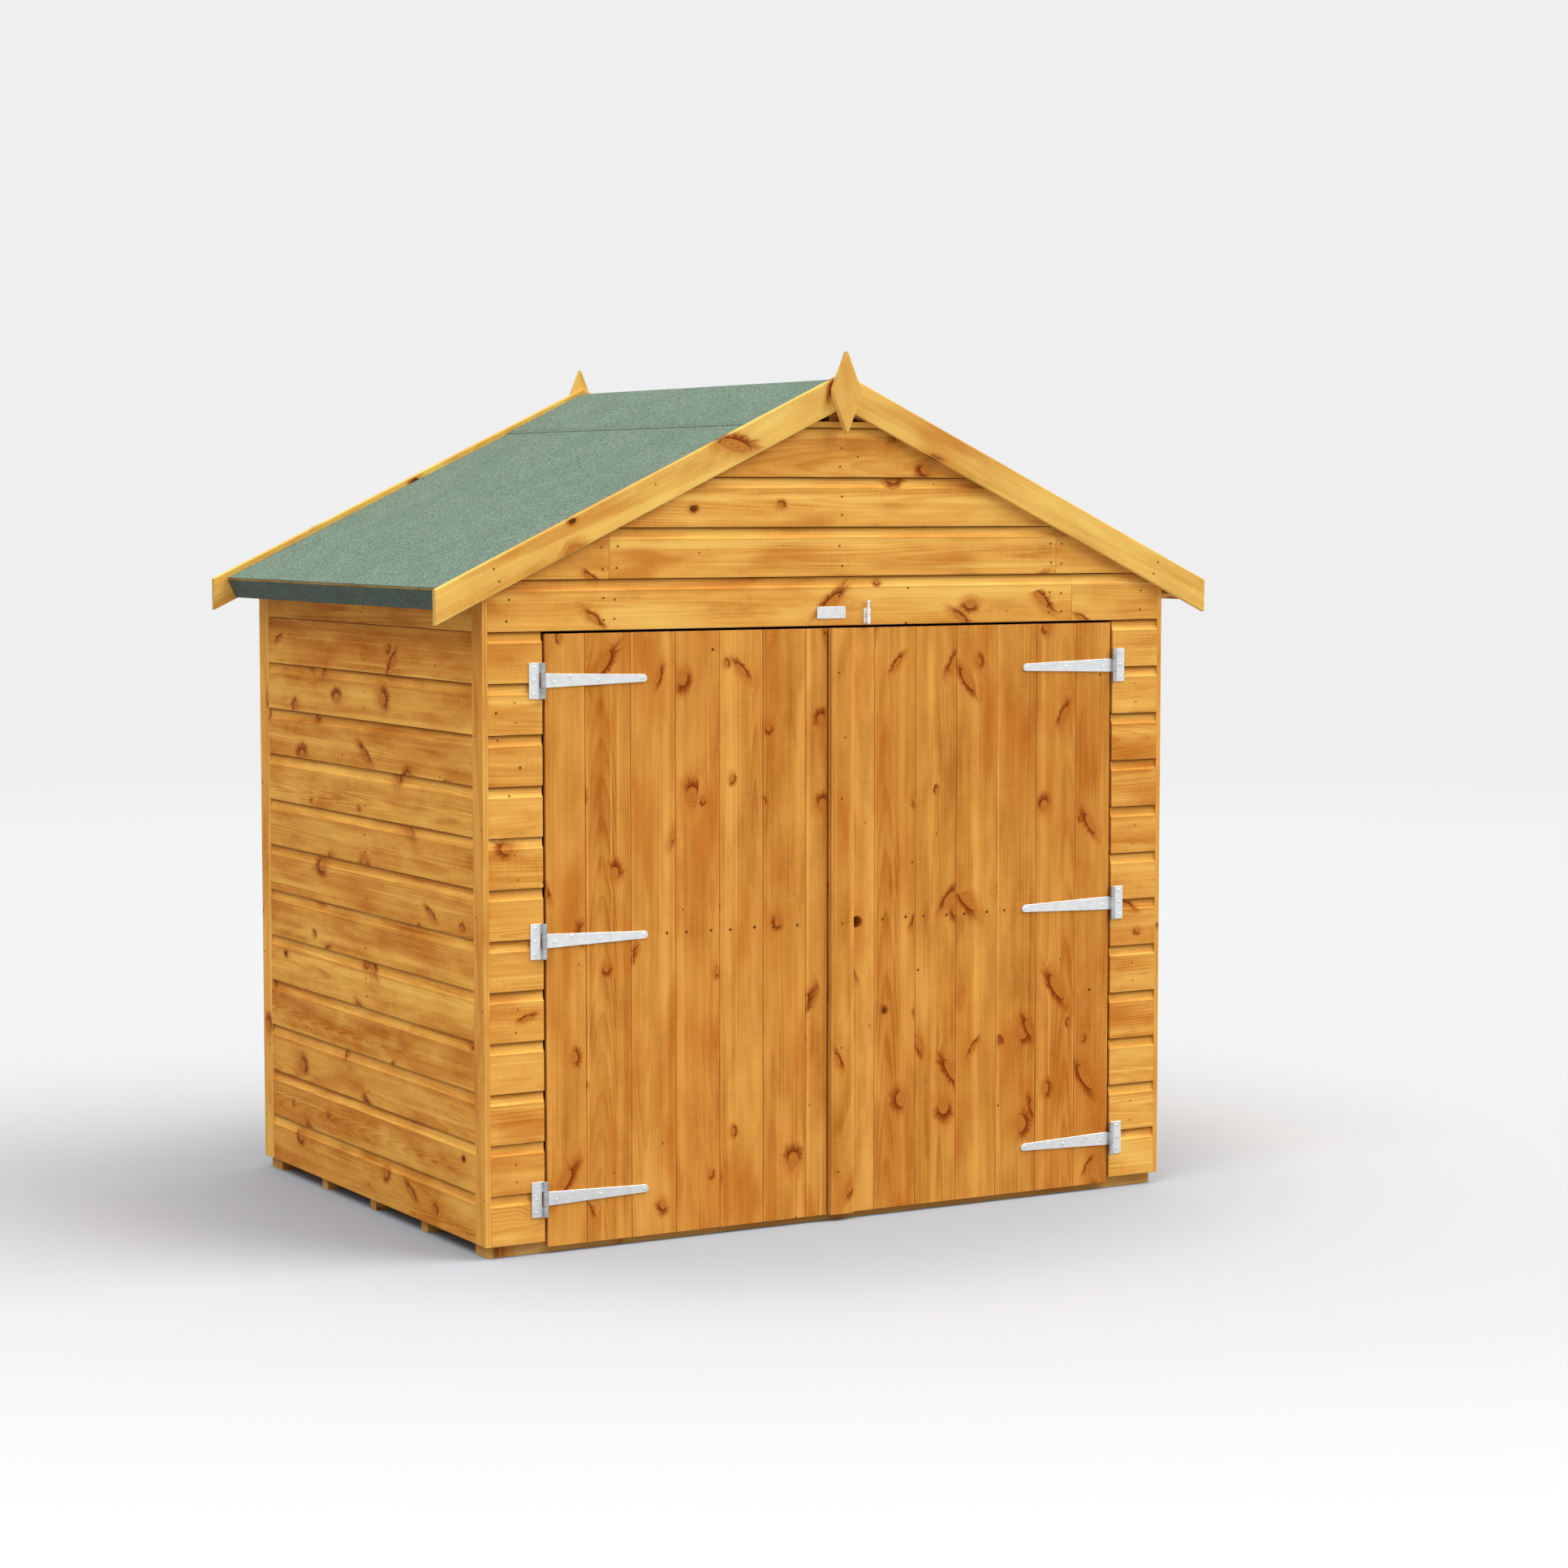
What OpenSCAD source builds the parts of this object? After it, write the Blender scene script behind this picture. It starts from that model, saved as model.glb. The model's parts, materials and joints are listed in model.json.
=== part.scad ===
// Apex garden shed: shiplap walls on timber frames, a felt roof with bargeboards and finials,
// and ledged double doors on T-hinges, standing on a joisted floor.
// X runs across the front, Y from front to back and Z up. The origin is on the ground, in the middle.

/* [Shed] */
// Width over the corner trims
shed_w = 1800; // [1600:10:2400]
// Depth over the front and back cladding
shed_d = 1300; // [1000:10:2400]
// Height of the lowest cladding edge above the ground
clad_bottom = 28; // [18:1:40]
// Cladding boards from the lowest edge up to the door head
door_courses = 12; // [12:1:17]
// Height of the roof boards at the side walls, above the door head
eaves_rise = 119; // [110:1:300]
// Slope of the roof in degrees
roof_pitch = 25.2; // [18:0.2:35]

/* [Boards] */
// Thickness of the cladding and door boards
board_t = 12; // [10:1:20]
// Height that one cladding board covers, and width of one door board
board_cover = 112.3; // [105:0.1:140]
// Height of the scoop along the top of a cladding board
scoop_h = 24; // [8:1:30]
// Depth of the scoop
scoop_d = 6; // [2:0.5:8]
// Width of a corner trim
trim_w = 56; // [45:1:90]
// Height of the open triangle at the top of a gable
gable_cut = 80; // [65:1:120]
// Gap between the wall boards and the roof boards
roof_gap = 1; // [0.5:0.5:5]

/* [Frame] */
// Thickness of the frame timber, across the wall
frame_t = 28; // [20:1:45]
// Width of the frame timber, along the wall
frame_w = 45; // [35:1:60]
// Number of studs in a side wall
side_studs = 3; // [3:1:7]
// Number of studs in the back wall
back_studs = 5; // [3:1:7]
// Gap between the two raking rails of a gable
apex_gap = 1; // [0.5:0.5:4]

/* [Floor] */
// Height of a joist
joist_h = 44; // [40:1:70]
// Width of the front and back joists
outer_joist_w = 65; // [40:1:90]
// Width of the inner joists
inner_joist_w = 35; // [25:1:60]
// Number of inner joists
inner_joists = 3; // [2:1:6]
// Thickness of the floor boards
deck_t = 12; // [9:1:22]
// Gap between the floor and the back of the front and back boards
floor_gap = 6; // [5:0.5:15]

/* [Doors] */
// Width of the cladding strip beside each door
strip_w = 131; // [125:1:300]
// Gap between a door and the cladding at its hinge side
door_side_gap = 7; // [5:0.5:12]
// Gap between a door and the gable boards over it
door_head_gap = 6; // [5:0.5:12]
// Gap between the two doors
meeting_gap = 6; // [5:0.5:12]
// Height of the lower edge of the doors above the ground
door_bottom = 16; // [8:1:28]
// Width of the board at the hinge side of a door
first_board_w = 97; // [60:1:112]
// Narrowest board at the meeting edge of a door
last_board_w = 40; // [20:1:56]
// Width of the groove between two door boards
groove_w = 5; // [2:0.5:10]
// Depth of the groove
groove_d = 3; // [1:0.5:6]
// Thickness of a ledge on the back of a door
ledge_t = 22; // [15:1:28]
// Height of a ledge
ledge_h = 70; // [50:1:100]
// Distance from the edge of a door to the ends of its ledges
ledge_inset = 40; // [20:1:80]
// Width of the strip that covers the meeting of the doors
cover_w = 59; // [40:1:80]
// Thickness of the cover strip
cover_t = 12; // [8:1:18]
// Diameter of the lock hole
lock_d = 28; // [16:1:36]
// Height of the lock hole above the ground
lock_z = 691; // [680:1:720]
// Gap between the lock hole and the cover strip
lock_gap = 1.5; // [1:0.5:10]

/* [Hinges] */
// Height of the lowest hinges above the ground
hinge_low_z = 124; // [100:1:200]
// Distance from one hinge up to the next
hinge_pitch = 572; // [500:1:580]
// Distance of the hinge pin from the edge of the doorway
pin_offset = 1; // [0:0.5:3]
// Radius of the hinge pin
pin_r = 3; // [2:0.5:4]
// Gap between the pin and the strap that turns on it
pin_gap = 0.08; // [0.03:0.01:0.1]
// Radius of the hinge barrel
barrel_r = 6; // [5:0.5:9]
// Gap between the barrel and the wall
barrel_gap = 1; // [0.5:0.5:3]
// Gap between the parts of the barrel
knuckle_gap = 0.5; // [0.3:0.1:1]
// Thickness of the hinge metal
hinge_t = 2.5; // [2:0.5:4]
// Width of the hinge plate, from the pin to its far edge
plate_w = 32; // [22:1:45]
// Height of the hinge plate
plate_h = 79; // [60:1:100]
// Length of the strap from the pin to its tip
strap_l = 258; // [150:1:400]
// Width of the strap at the barrel
strap_root_w = 32; // [24:1:44]
// Width of the strap at its tip
strap_tip_w = 17; // [10:1:22]

/* [Top bolt] */
// Distance of the bolt from the middle of the shed
bolt_x = 69.5; // [50:0.5:200]
// Radius of the sliding rod
bolt_r = 3.5; // [2.5:0.5:6]
// Gap between the rod and its guides
bolt_gap = 0.1; // [0.05:0.05:0.3]
// Travel of the rod
bolt_travel = 13; // [10:1:25]
// Height of the raised rod's tip above the door head
bolt_tip_rise = 1; // [0:0.5:4]
// Height of the bolt plate's lower edge above the door head
bolt_plate_rise = 3; // [1:1:10]
// Width of the bolt plate
bolt_plate_w = 18; // [16:1:30]
// Length of the bolt plate
bolt_plate_h = 36; // [30:1:60]
// Thickness of the bolt plate
bolt_plate_t = 2; // [1:0.5:4]
// Wall of a guide around the rod
guide_wall = 2; // [1:0.5:3]
// Length of a guide
guide_h = 8; // [5:1:12]
// Distance of a guide from the end of the plate
guide_inset = 2; // [1:1:6]
// Radius of the cap on the rod
cap_r = 5; // [4.5:0.5:8]
// Height of the cap
cap_h = 6; // [3:1:10]
// Gap between the cap and the upper guide when the rod is down
cap_gap = 0.5; // [0.3:0.1:2]

/* [Roof] */
// Gap between the layers of the roof
seat_gap = 0.1; // [0.05:0.05:0.5]
// Thickness of the roof boards
roof_t = 11; // [8:1:18]
// Thickness of the felt
felt_t = 3; // [2:0.5:4]
// Bare edge of the boards between the felt on the slope and the felt on the eaves
felt_reveal = 4; // [2:0.5:8]
// Overhang of the felt beyond the side walls
eaves_overhang = 80; // [70:1:150]
// Width of the battens under the roof boards
batten_w = 28; // [20:1:40]
// Depth of the battens
batten_h = 40; // [25:1:60]
// Distance of the ridge battens from the ridge, along the slope
ridge_batten_u = 32; // [30:1:80]
// Width of the ridge felt on each slope
ridge_felt_w = 237; // [120:1:350]
// Width of a bargeboard
barge_w = 70; // [60:1:120]
// Thickness of a bargeboard
barge_t = 14; // [10:1:22]
// Height of a bargeboard's upper edge above the felt
barge_rise = 13; // [0:1:30]
// Length of the bargeboards beyond the felt
barge_end = 37; // [10:1:80]
// Width of a finial
finial_w = 78; // [50:1:120]
// Height of a finial
finial_h = 186; // [120:1:260]
// Thickness of a finial
finial_t = 18; // [10:1:28]
// Distance from the tip of the bargeboards down to the middle of a finial
finial_drop = 45; // [30:1:70]

/* [Hidden] */
$fn = 48;
// Angle between the points of a scoop
scoop_step = 18;
// Extra length of a cutter beyond the piece that it cuts
cut_over = 1;

half_w = shed_w / 2;
half_d = shed_d / 2;
// Outer faces of the wall frames
frame_x = half_w - board_t;
frame_y = half_d - board_t;
floor_y = frame_y - floor_gap;
deck_top = joist_h + deck_t;
head_z = clad_bottom + door_courses * board_cover;
eaves_z = head_z + eaves_rise;

// Under side of the roof boards at the distance x from the middle
function roof_under(x) = eaves_z + (half_w - abs(x)) * tan(roof_pitch);
ridge_z = roof_under(0);
// Vertical height of a thickness that is measured square to the slope
function plumb(t) = t / cos(roof_pitch);
// Point on the right slope: u runs down from the ridge, v square up from the under side of the boards
function slope_point(u, v) =
    [u * cos(roof_pitch) + v * sin(roof_pitch), ridge_z - u * sin(roof_pitch) + v * cos(roof_pitch)];
felt_x = half_w + eaves_overhang;
felt_u = (felt_x - (roof_t - felt_reveal) * sin(roof_pitch)) / cos(roof_pitch);
eaves_u = felt_u - felt_t;
barge_x = felt_x + barge_end;
barge_tip_z = ridge_z + plumb(roof_t + felt_t + barge_rise);

doorway_w = 2 * (frame_x - strip_w);
door_edge = doorway_w / 2 - door_side_gap;
door_top = head_z - door_head_gap;
cover_edge = cover_w / 2;
right_leaf_w = door_edge + cover_edge;
left_leaf_w = right_leaf_w - cover_w - meeting_gap;
lock_x = cover_edge + lock_gap + lock_d / 2;
hinge_zs = [for (i = [0:2]) hinge_low_z + i * hinge_pitch];
pin_x = doorway_w / 2 + pin_offset;
pin_y = -half_d - barrel_r - barrel_gap;

guide_r = bolt_r + bolt_gap + guide_wall;
bolt_y = -half_d - bolt_plate_t - guide_r;
bolt_plate_z = head_z + bolt_plate_rise;
guide_zs = [bolt_plate_z + guide_inset, bolt_plate_z + bolt_plate_h - guide_inset - guide_h];
bolt_tip_z = head_z + bolt_tip_rise;
bolt_cap_z = guide_zs[1] + guide_h + cap_gap + bolt_travel;

pine = "#d79a4e";
pale_pine = "#ebb865";
door_pine = "#c98a42";
frame_pine = "#dfc08c";
felt_green = "#7f9684";
zinc = "#cdd2d6";

// Box between two opposite corners
module block(low, high) {
    translate(low) cube(high - low);
}

// Extrudes an outline drawn in X and Z from y0 to y1
module along_y(y0, y1) {
    translate([0, y1, 0]) rotate([90, 0, 0]) linear_extrude(y1 - y0) children();
}

// Extrudes an outline drawn in Y and Z from x0 to x1
module along_x(x0, x1) {
    translate([x0, 0, 0]) rotate([90, 0, 90]) linear_extrude(x1 - x0) children();
}

// The piece as drawn, or its mirror image on the left side of the shed
module on_side(side) {
    mirror([side == "left" ? 1 : 0, 0, 0]) children();
}

// The piece as drawn for the front, or its mirror image at the back
module at_end(end) {
    mirror([0, end == "back" ? 1 : 0, 0]) children();
}

// Scoop under the lower edge of the next board, whose height is z
function scoop(z) = [for (a = [0:scoop_step:90]) [scoop_d * sin(a), z - scoop_h * cos(a)]];

// Section of a shiplap wall from z0 to z1: depth behind the face, then height
function shiplap(z0, z1) =
    let (courses = floor((z1 - z0) / board_cover + 0.001), rest_z = z0 + courses * board_cover)
    concat(
        [for (i = [0:courses - 1])
            each concat([[0, z0 + i * board_cover]], scoop(z0 + (i + 1) * board_cover))],
        z1 - rest_z > 1 ? [[0, rest_z], [0, z1]] : [],
        [[board_t, z1], [board_t, z0]]
    );

// Shiplap across the front, from x0 to x1
module end_shiplap(x0, x1, z0, z1) {
    translate([0, -half_d, 0]) along_x(x0, x1) polygon(shiplap(z0, z1));
}

// Shiplap of the right side wall, between its corner trims
module side_cladding() {
    rows = [for (p = shiplap(clad_bottom, eaves_z - roof_gap)) [half_w - p[0], p[1]]];
    color(pine) along_y(trim_w - half_d, half_d - trim_w) polygon(rows);
}

// Outline of a wall end from z0 up to the roof, cut level below the ridge
module gable_outline(z0) {
    top_z = ridge_z - gable_cut;
    top_x = half_w - (top_z + roof_gap - eaves_z) / tan(roof_pitch);
    side_z = roof_under(frame_x) - roof_gap;
    right = [[frame_x, z0], [frame_x, side_z], [top_x, top_z]];
    polygon(concat(right, [for (i = [2:-1:0]) [-right[i][0], right[i][1]]]));
}

// Shiplap of a wall end from z0 up
module gable_cladding(z0) {
    color(pine) intersection() {
        end_shiplap(-frame_x, frame_x, z0, ridge_z);
        along_y(-half_d - cut_over, -frame_y + cut_over) gable_outline(z0);
    }
}

module front_strip() {
    color(pine) end_shiplap(doorway_w / 2, frame_x, clad_bottom, head_z);
}

module corner_trim() {
    color(pale_pine)
        block([frame_x, -half_d, clad_bottom], [half_w, trim_w - half_d, eaves_z - roof_gap]);
}

// Upright of a wall end between two heights, with its middle at x
module end_stud(x, z0, z1) {
    block([x - frame_w / 2, -frame_y, z0], [x + frame_w / 2, frame_t - frame_y, z1]);
}

// Level timber of a wall end between two places
module end_rail(x0, x1, z0, z1) {
    block([x0, -frame_y, z0], [x1, frame_t - frame_y, z1]);
}

// Corner studs and the post under the ridge
module gable_studs() {
    corner_x = frame_x - frame_w / 2;
    for (x = [-corner_x, corner_x])
        end_stud(x, deck_top + frame_t, roof_under(frame_x) - plumb(frame_w));
    end_stud(0, head_z + frame_w, roof_under(frame_w / 2) - plumb(frame_w));
}

module gable_rails() {
    inner_x = apex_gap / 2;
    color(frame_pine) for (side = ["left", "right"]) on_side(side)
        along_y(-frame_y, frame_t - frame_y) polygon([
            [inner_x, roof_under(inner_x) - plumb(frame_w)],
            [frame_x, roof_under(frame_x) - plumb(frame_w)],
            [frame_x, roof_under(frame_x)],
            [inner_x, roof_under(inner_x)]
        ]);
}

module front_wall_studs() {
    jamb_x = doorway_w / 2 + frame_w / 2;
    color(frame_pine) {
        gable_studs();
        for (x = [-jamb_x, jamb_x]) end_stud(x, deck_top + frame_t, head_z);
    }
}

// Rails under the front strips, and the header over the doors
module front_wall_rails() {
    header_x = frame_x - frame_w;
    color(frame_pine) {
        for (side = ["left", "right"]) on_side(side)
            end_rail(doorway_w / 2, frame_x, deck_top, deck_top + frame_t);
        end_rail(-header_x, header_x, head_z, head_z + frame_w);
    }
}

module back_wall_studs() {
    step = (2 * frame_x - frame_w) / (back_studs - 1);
    color(frame_pine) at_end("back") {
        gable_studs();
        for (i = [1:back_studs - 2])
            end_stud(frame_w / 2 - frame_x + i * step, deck_top + frame_t, head_z);
    }
}

module back_wall_rails() {
    header_x = frame_x - frame_w;
    color(frame_pine) at_end("back") {
        end_rail(-frame_x, frame_x, deck_top, deck_top + frame_t);
        end_rail(-header_x, header_x, head_z, head_z + frame_w);
    }
}

// Depth of a side frame from the middle, between the front and back frames
side_y = frame_y - frame_t;
side_rail_z = eaves_z - frame_w;

module side_studs_row() {
    step = (2 * side_y - frame_w) / (side_studs - 1);
    color(frame_pine) for (i = [0:side_studs - 1])
        block([frame_x - frame_t, i * step - side_y, deck_top + frame_t],
              [frame_x, i * step - side_y + frame_w, side_rail_z]);
}

// Bottom rail, and a top rail that is bevelled to carry the roof
module side_rails() {
    inner_x = frame_x - frame_t;
    color(frame_pine) {
        block([inner_x, -side_y, deck_top], [frame_x, side_y, deck_top + frame_t]);
        along_y(-side_y, side_y) polygon([
            [inner_x, side_rail_z], [frame_x, side_rail_z],
            [frame_x, roof_under(frame_x)], [inner_x, roof_under(inner_x)]
        ]);
    }
}

module floor_joists() {
    clear = (2 * floor_y - 2 * outer_joist_w - inner_joists * inner_joist_w) / (inner_joists + 1);
    color(frame_pine) {
        for (end = ["front", "back"]) at_end(end)
            block([-frame_x, -floor_y, 0], [frame_x, outer_joist_w - floor_y, joist_h]);
        for (i = [1:inner_joists]) {
            y = outer_joist_w - floor_y + i * clear + (i - 1) * inner_joist_w;
            block([-frame_x, y, 0], [frame_x, y + inner_joist_w, joist_h]);
        }
    }
}

module floor_deck() {
    color(frame_pine) block([-frame_x, -floor_y, joist_h], [frame_x, floor_y, deck_top]);
}

// Section through one slope from v0 to v1, plumb at the ridge and square at the lower end u1
function slope_section(v0, v1, u1) =
    [[0, ridge_z + plumb(v0)], slope_point(u1, v0), slope_point(u1, v1), [0, ridge_z + plumb(v1)]];

module roof_boards() {
    color(frame_pine) along_y(-half_d, half_d) polygon(slope_section(seat_gap, roof_t, eaves_u));
}

// Section of a batten under the slope that starts at u0
function batten_section(u0) = [
    slope_point(u0, -batten_h), slope_point(u0 + batten_w, -batten_h),
    slope_point(u0 + batten_w, 0), slope_point(u0, 0)
];

module roof_battens() {
    color(frame_pine) for (side = ["left", "right"]) on_side(side) {
        along_y(-half_d, half_d) polygon(batten_section(eaves_u - batten_w));
        along_y(-side_y, side_y) polygon(batten_section(ridge_batten_u));
    }
}

// Felt on one slope, and the strip of felt on the edge of the boards and the eaves batten
module slope_felt() {
    strip_top = roof_t - felt_reveal;
    strip_u = eaves_u + seat_gap;
    color(felt_green) along_y(-half_d, half_d) {
        polygon(slope_section(roof_t + seat_gap, roof_t + felt_t, eaves_u));
        polygon([
            slope_point(strip_u, -batten_h), slope_point(felt_u, -batten_h),
            slope_point(felt_u, strip_top), slope_point(strip_u, strip_top)
        ]);
    }
}

// Strip of felt folded over the ridge
module ridge_felt() {
    v0 = roof_t + felt_t;
    right = slope_section(v0 + seat_gap, v0 + felt_t, ridge_felt_w);
    left = [for (i = [2, 1]) [-right[i][0], right[i][1]]];
    color(felt_green) along_y(-half_d, half_d) polygon(concat(right, left));
}

module bargeboard() {
    end_z = barge_tip_z - barge_x * tan(roof_pitch);
    color(pale_pine) along_y(-half_d - barge_t, -half_d) polygon([
        [0, barge_tip_z - plumb(barge_w)], [barge_x, end_z - plumb(barge_w)],
        [barge_x, end_z], [0, barge_tip_z]
    ]);
}

module finial() {
    middle_z = barge_tip_z - finial_drop;
    color(pale_pine) along_y(-half_d - barge_t - finial_t, -half_d - barge_t) polygon([
        [0, middle_z - finial_h / 2], [finial_w / 2, middle_z],
        [0, middle_z + finial_h / 2], [-finial_w / 2, middle_z]
    ]);
}

// Plan of a door of the width w, from its hinge side, with a groove at each joint of its boards
function leaf_plan(w) =
    let (joints = [for (s = [first_board_w:board_cover:w - last_board_w]) s])
    concat(
        [[0, 0]],
        [for (s = joints) each [[s - groove_w / 2, 0], [s, groove_d], [s + groove_w / 2, 0]]],
        [[w, 0], [w, board_t], [0, board_t]]
    );

// Boards of a door that hangs on its left edge
module leaf_boards(w) {
    color(door_pine) translate([-door_edge, -half_d, door_bottom])
        linear_extrude(door_top - door_bottom) polygon(leaf_plan(w));
}

module leaf_ledges(w) {
    color(door_pine) for (z = hinge_zs)
        block([ledge_inset - door_edge, -frame_y, z - ledge_h / 2],
              [w - ledge_inset - door_edge, ledge_t - frame_y, z + ledge_h / 2]);
}

// Hole for a lock through the right door
module lock_hole() {
    depth = board_t + ledge_t + 2 * cut_over;
    translate([lock_x, -half_d - cut_over, lock_z]) rotate([-90, 0, 0]) cylinder(h = depth, d = lock_d);
}

module door_cover_strip() {
    color(pale_pine)
        block([-cover_edge, -half_d - cover_t, door_bottom], [cover_edge, -half_d, door_top]);
}

// Hinge metal on the face of the wall, from x0 to x1 and z0 to z1, measured from the pin
module hinge_leaf(x0, x1, z0, z1) {
    face_y = barrel_r + barrel_gap;
    block([x0, face_y - hinge_t, z0], [x1, face_y, z1]);
}

// Plate of a left hinge with the ends of its barrel and the pin
module hinge_plate() {
    knuckle_z = strap_root_w / 2 + knuckle_gap;
    hinge_leaf(-plate_w, -barrel_r - barrel_gap, -plate_h / 2, plate_h / 2);
    for (up = [0, 1]) mirror([0, 0, up]) {
        hinge_leaf(-barrel_r - barrel_gap - cut_over, 0, knuckle_z, plate_h / 2);
        translate([0, 0, knuckle_z]) cylinder(h = plate_h / 2 - knuckle_z, r = barrel_r);
    }
    cylinder(h = plate_h, r = pin_r, center = true);
}

// Strap of a left hinge, tapered to a round tip, with the middle of the barrel
module hinge_strap() {
    tip_r = strap_tip_w / 2;
    face_y = barrel_r + barrel_gap;
    difference() {
        union() {
            along_y(face_y - hinge_t, face_y) {
                polygon([
                    [0, -strap_root_w / 2], [strap_l - tip_r, -tip_r],
                    [strap_l - tip_r, tip_r], [0, strap_root_w / 2]
                ]);
                translate([strap_l - tip_r, 0]) circle(tip_r);
            }
            cylinder(h = strap_root_w, r = barrel_r, center = true);
        }
        cylinder(h = strap_root_w + 2 * cut_over, r = pin_r + pin_gap, center = true);
    }
}

// The three hinges of one door: those of the right door are turned over to face the other way
module at_hinges(side) {
    x = side == "left" ? -pin_x : pin_x;
    turn = side == "left" ? 0 : 180;
    color(zinc) for (z = hinge_zs) translate([x, pin_y, z]) rotate([0, turn, 0]) children();
}

// Plate with the two guides of the bolt
module bolt_plate() {
    color(zinc) difference() {
        union() {
            block([bolt_x - bolt_plate_w / 2, -half_d - bolt_plate_t, bolt_plate_z],
                  [bolt_x + bolt_plate_w / 2, -half_d, bolt_plate_z + bolt_plate_h]);
            for (z = guide_zs) {
                translate([bolt_x, bolt_y, z]) cylinder(h = guide_h, r = guide_r);
                block([bolt_x - guide_r, bolt_y, z],
                      [bolt_x + guide_r, -half_d - bolt_plate_t, z + guide_h]);
            }
        }
        translate([bolt_x, bolt_y, bolt_plate_z - cut_over])
            cylinder(h = bolt_plate_h + 2 * cut_over, r = bolt_r + bolt_gap);
    }
}

// Rod of the bolt, raised clear of the doors
module bolt_rod() {
    color(zinc) translate([bolt_x, bolt_y, 0]) {
        translate([0, 0, bolt_tip_z]) cylinder(h = bolt_cap_z - bolt_tip_z, r = bolt_r);
        translate([0, 0, bolt_cap_z]) cylinder(h = cap_h, r = cap_r);
    }
}

floor_joists();
floor_deck();
on_side("left") side_cladding();  // left_wall_cladding
on_side("left") side_studs_row();  // left_wall_studs
on_side("left") side_rails();  // left_wall_rails
side_cladding();  // right_wall_cladding
side_studs_row();  // right_wall_studs
side_rails();  // right_wall_rails
at_end("back") gable_cladding(clad_bottom);  // back_wall_cladding
back_wall_studs();
back_wall_rails();
at_end("back") gable_rails();  // back_gable_rails
on_side("left") front_strip();  // front_left_cladding
front_strip();  // front_right_cladding
gable_cladding(head_z);  // front_gable_cladding
front_wall_studs();
front_wall_rails();
gable_rails();  // front_gable_rails
on_side("left") corner_trim();  // corner_trim_front_left
corner_trim();  // corner_trim_front_right
at_end("back") on_side("left") corner_trim();  // corner_trim_back_left
at_end("back") corner_trim();  // corner_trim_back_right
on_side("left") roof_boards();  // roof_boards_left
roof_boards();  // roof_boards_right
roof_battens();
on_side("left") slope_felt();  // roof_felt_left
slope_felt();  // roof_felt_right
ridge_felt();
on_side("left") bargeboard();  // bargeboard_front_left
bargeboard();  // bargeboard_front_right
at_end("back") on_side("left") bargeboard();  // bargeboard_back_left
at_end("back") bargeboard();  // bargeboard_back_right
finial();  // finial_front
at_end("back") finial();  // finial_back
at_hinges("left") hinge_plate();  // left_hinge_plates
at_hinges("right") hinge_plate();  // right_hinge_plates
bolt_plate();
leaf_boards(left_leaf_w);  // left_door_boards
leaf_ledges(left_leaf_w);  // left_door_ledges
at_hinges("left") hinge_strap();  // left_hinge_straps
difference() { mirror([1, 0, 0]) leaf_boards(right_leaf_w); lock_hole(); }  // right_door_boards
difference() { mirror([1, 0, 0]) leaf_ledges(right_leaf_w); lock_hole(); }  // right_door_ledges
at_hinges("right") hinge_strap();  // right_hinge_straps
door_cover_strip();
bolt_rod();
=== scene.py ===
import json
import random
from functools import partialmethod
from math import atan2, cos, pi, radians, sin, sqrt, tan, tau

import bmesh
import bpy
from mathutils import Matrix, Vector, noise


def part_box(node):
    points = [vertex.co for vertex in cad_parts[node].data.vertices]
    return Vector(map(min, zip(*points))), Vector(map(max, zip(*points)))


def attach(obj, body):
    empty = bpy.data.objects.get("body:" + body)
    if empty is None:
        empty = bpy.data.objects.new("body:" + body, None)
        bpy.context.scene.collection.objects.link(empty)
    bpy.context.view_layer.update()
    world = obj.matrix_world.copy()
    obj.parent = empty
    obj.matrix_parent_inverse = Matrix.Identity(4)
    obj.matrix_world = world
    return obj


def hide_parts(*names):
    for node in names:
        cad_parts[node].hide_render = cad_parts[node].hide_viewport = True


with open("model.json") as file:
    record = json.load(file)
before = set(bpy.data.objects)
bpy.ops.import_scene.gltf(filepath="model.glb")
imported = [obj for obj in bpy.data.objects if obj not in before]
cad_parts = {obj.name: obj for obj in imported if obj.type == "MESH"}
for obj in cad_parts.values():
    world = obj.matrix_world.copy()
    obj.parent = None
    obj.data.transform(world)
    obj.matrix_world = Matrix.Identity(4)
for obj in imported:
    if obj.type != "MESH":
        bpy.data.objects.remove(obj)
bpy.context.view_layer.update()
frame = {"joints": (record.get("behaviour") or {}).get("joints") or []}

# Directions
X = Vector((1, 0, 0))
Y = Vector((0, 1, 0))
Z = Vector((0, 0, 1))
ORIGIN = Vector((0, 0, 0))
SIDES = (("left", -1), ("right", 1))
ENDS = (("front", -1), ("back", 1))

# Sizes of the shed, in metres, from the frame
FRAME_X, _, CLAD_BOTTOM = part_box("right_wall_cladding")[0]
HALF_W, _, SIDE_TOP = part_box("right_wall_cladding")[1]
BOARD_T = HALF_W - FRAME_X
HALF_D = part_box("back_wall_cladding")[1].y
FRAME_Y = -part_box("front_wall_studs")[0].y
DOORWAY_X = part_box("front_right_cladding")[0].x
HEAD_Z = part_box("front_right_cladding")[1].z
GABLE_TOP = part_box("front_gable_cladding")[1].z
TRIM_Y = -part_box("corner_trim_front_left")[1].y
JOIST_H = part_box("floor_joists")[1].z
_, FLOOR_Y, DECK_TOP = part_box("floor_deck")[1]
FELT_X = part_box("roof_felt_right")[1].x
BARGE_X, _, BARGE_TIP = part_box("bargeboard_front_right")[1]
BARGE_Y = -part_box("bargeboard_front_right")[0].y
FINIAL_LOW, FINIAL_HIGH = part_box("finial_front")

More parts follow.
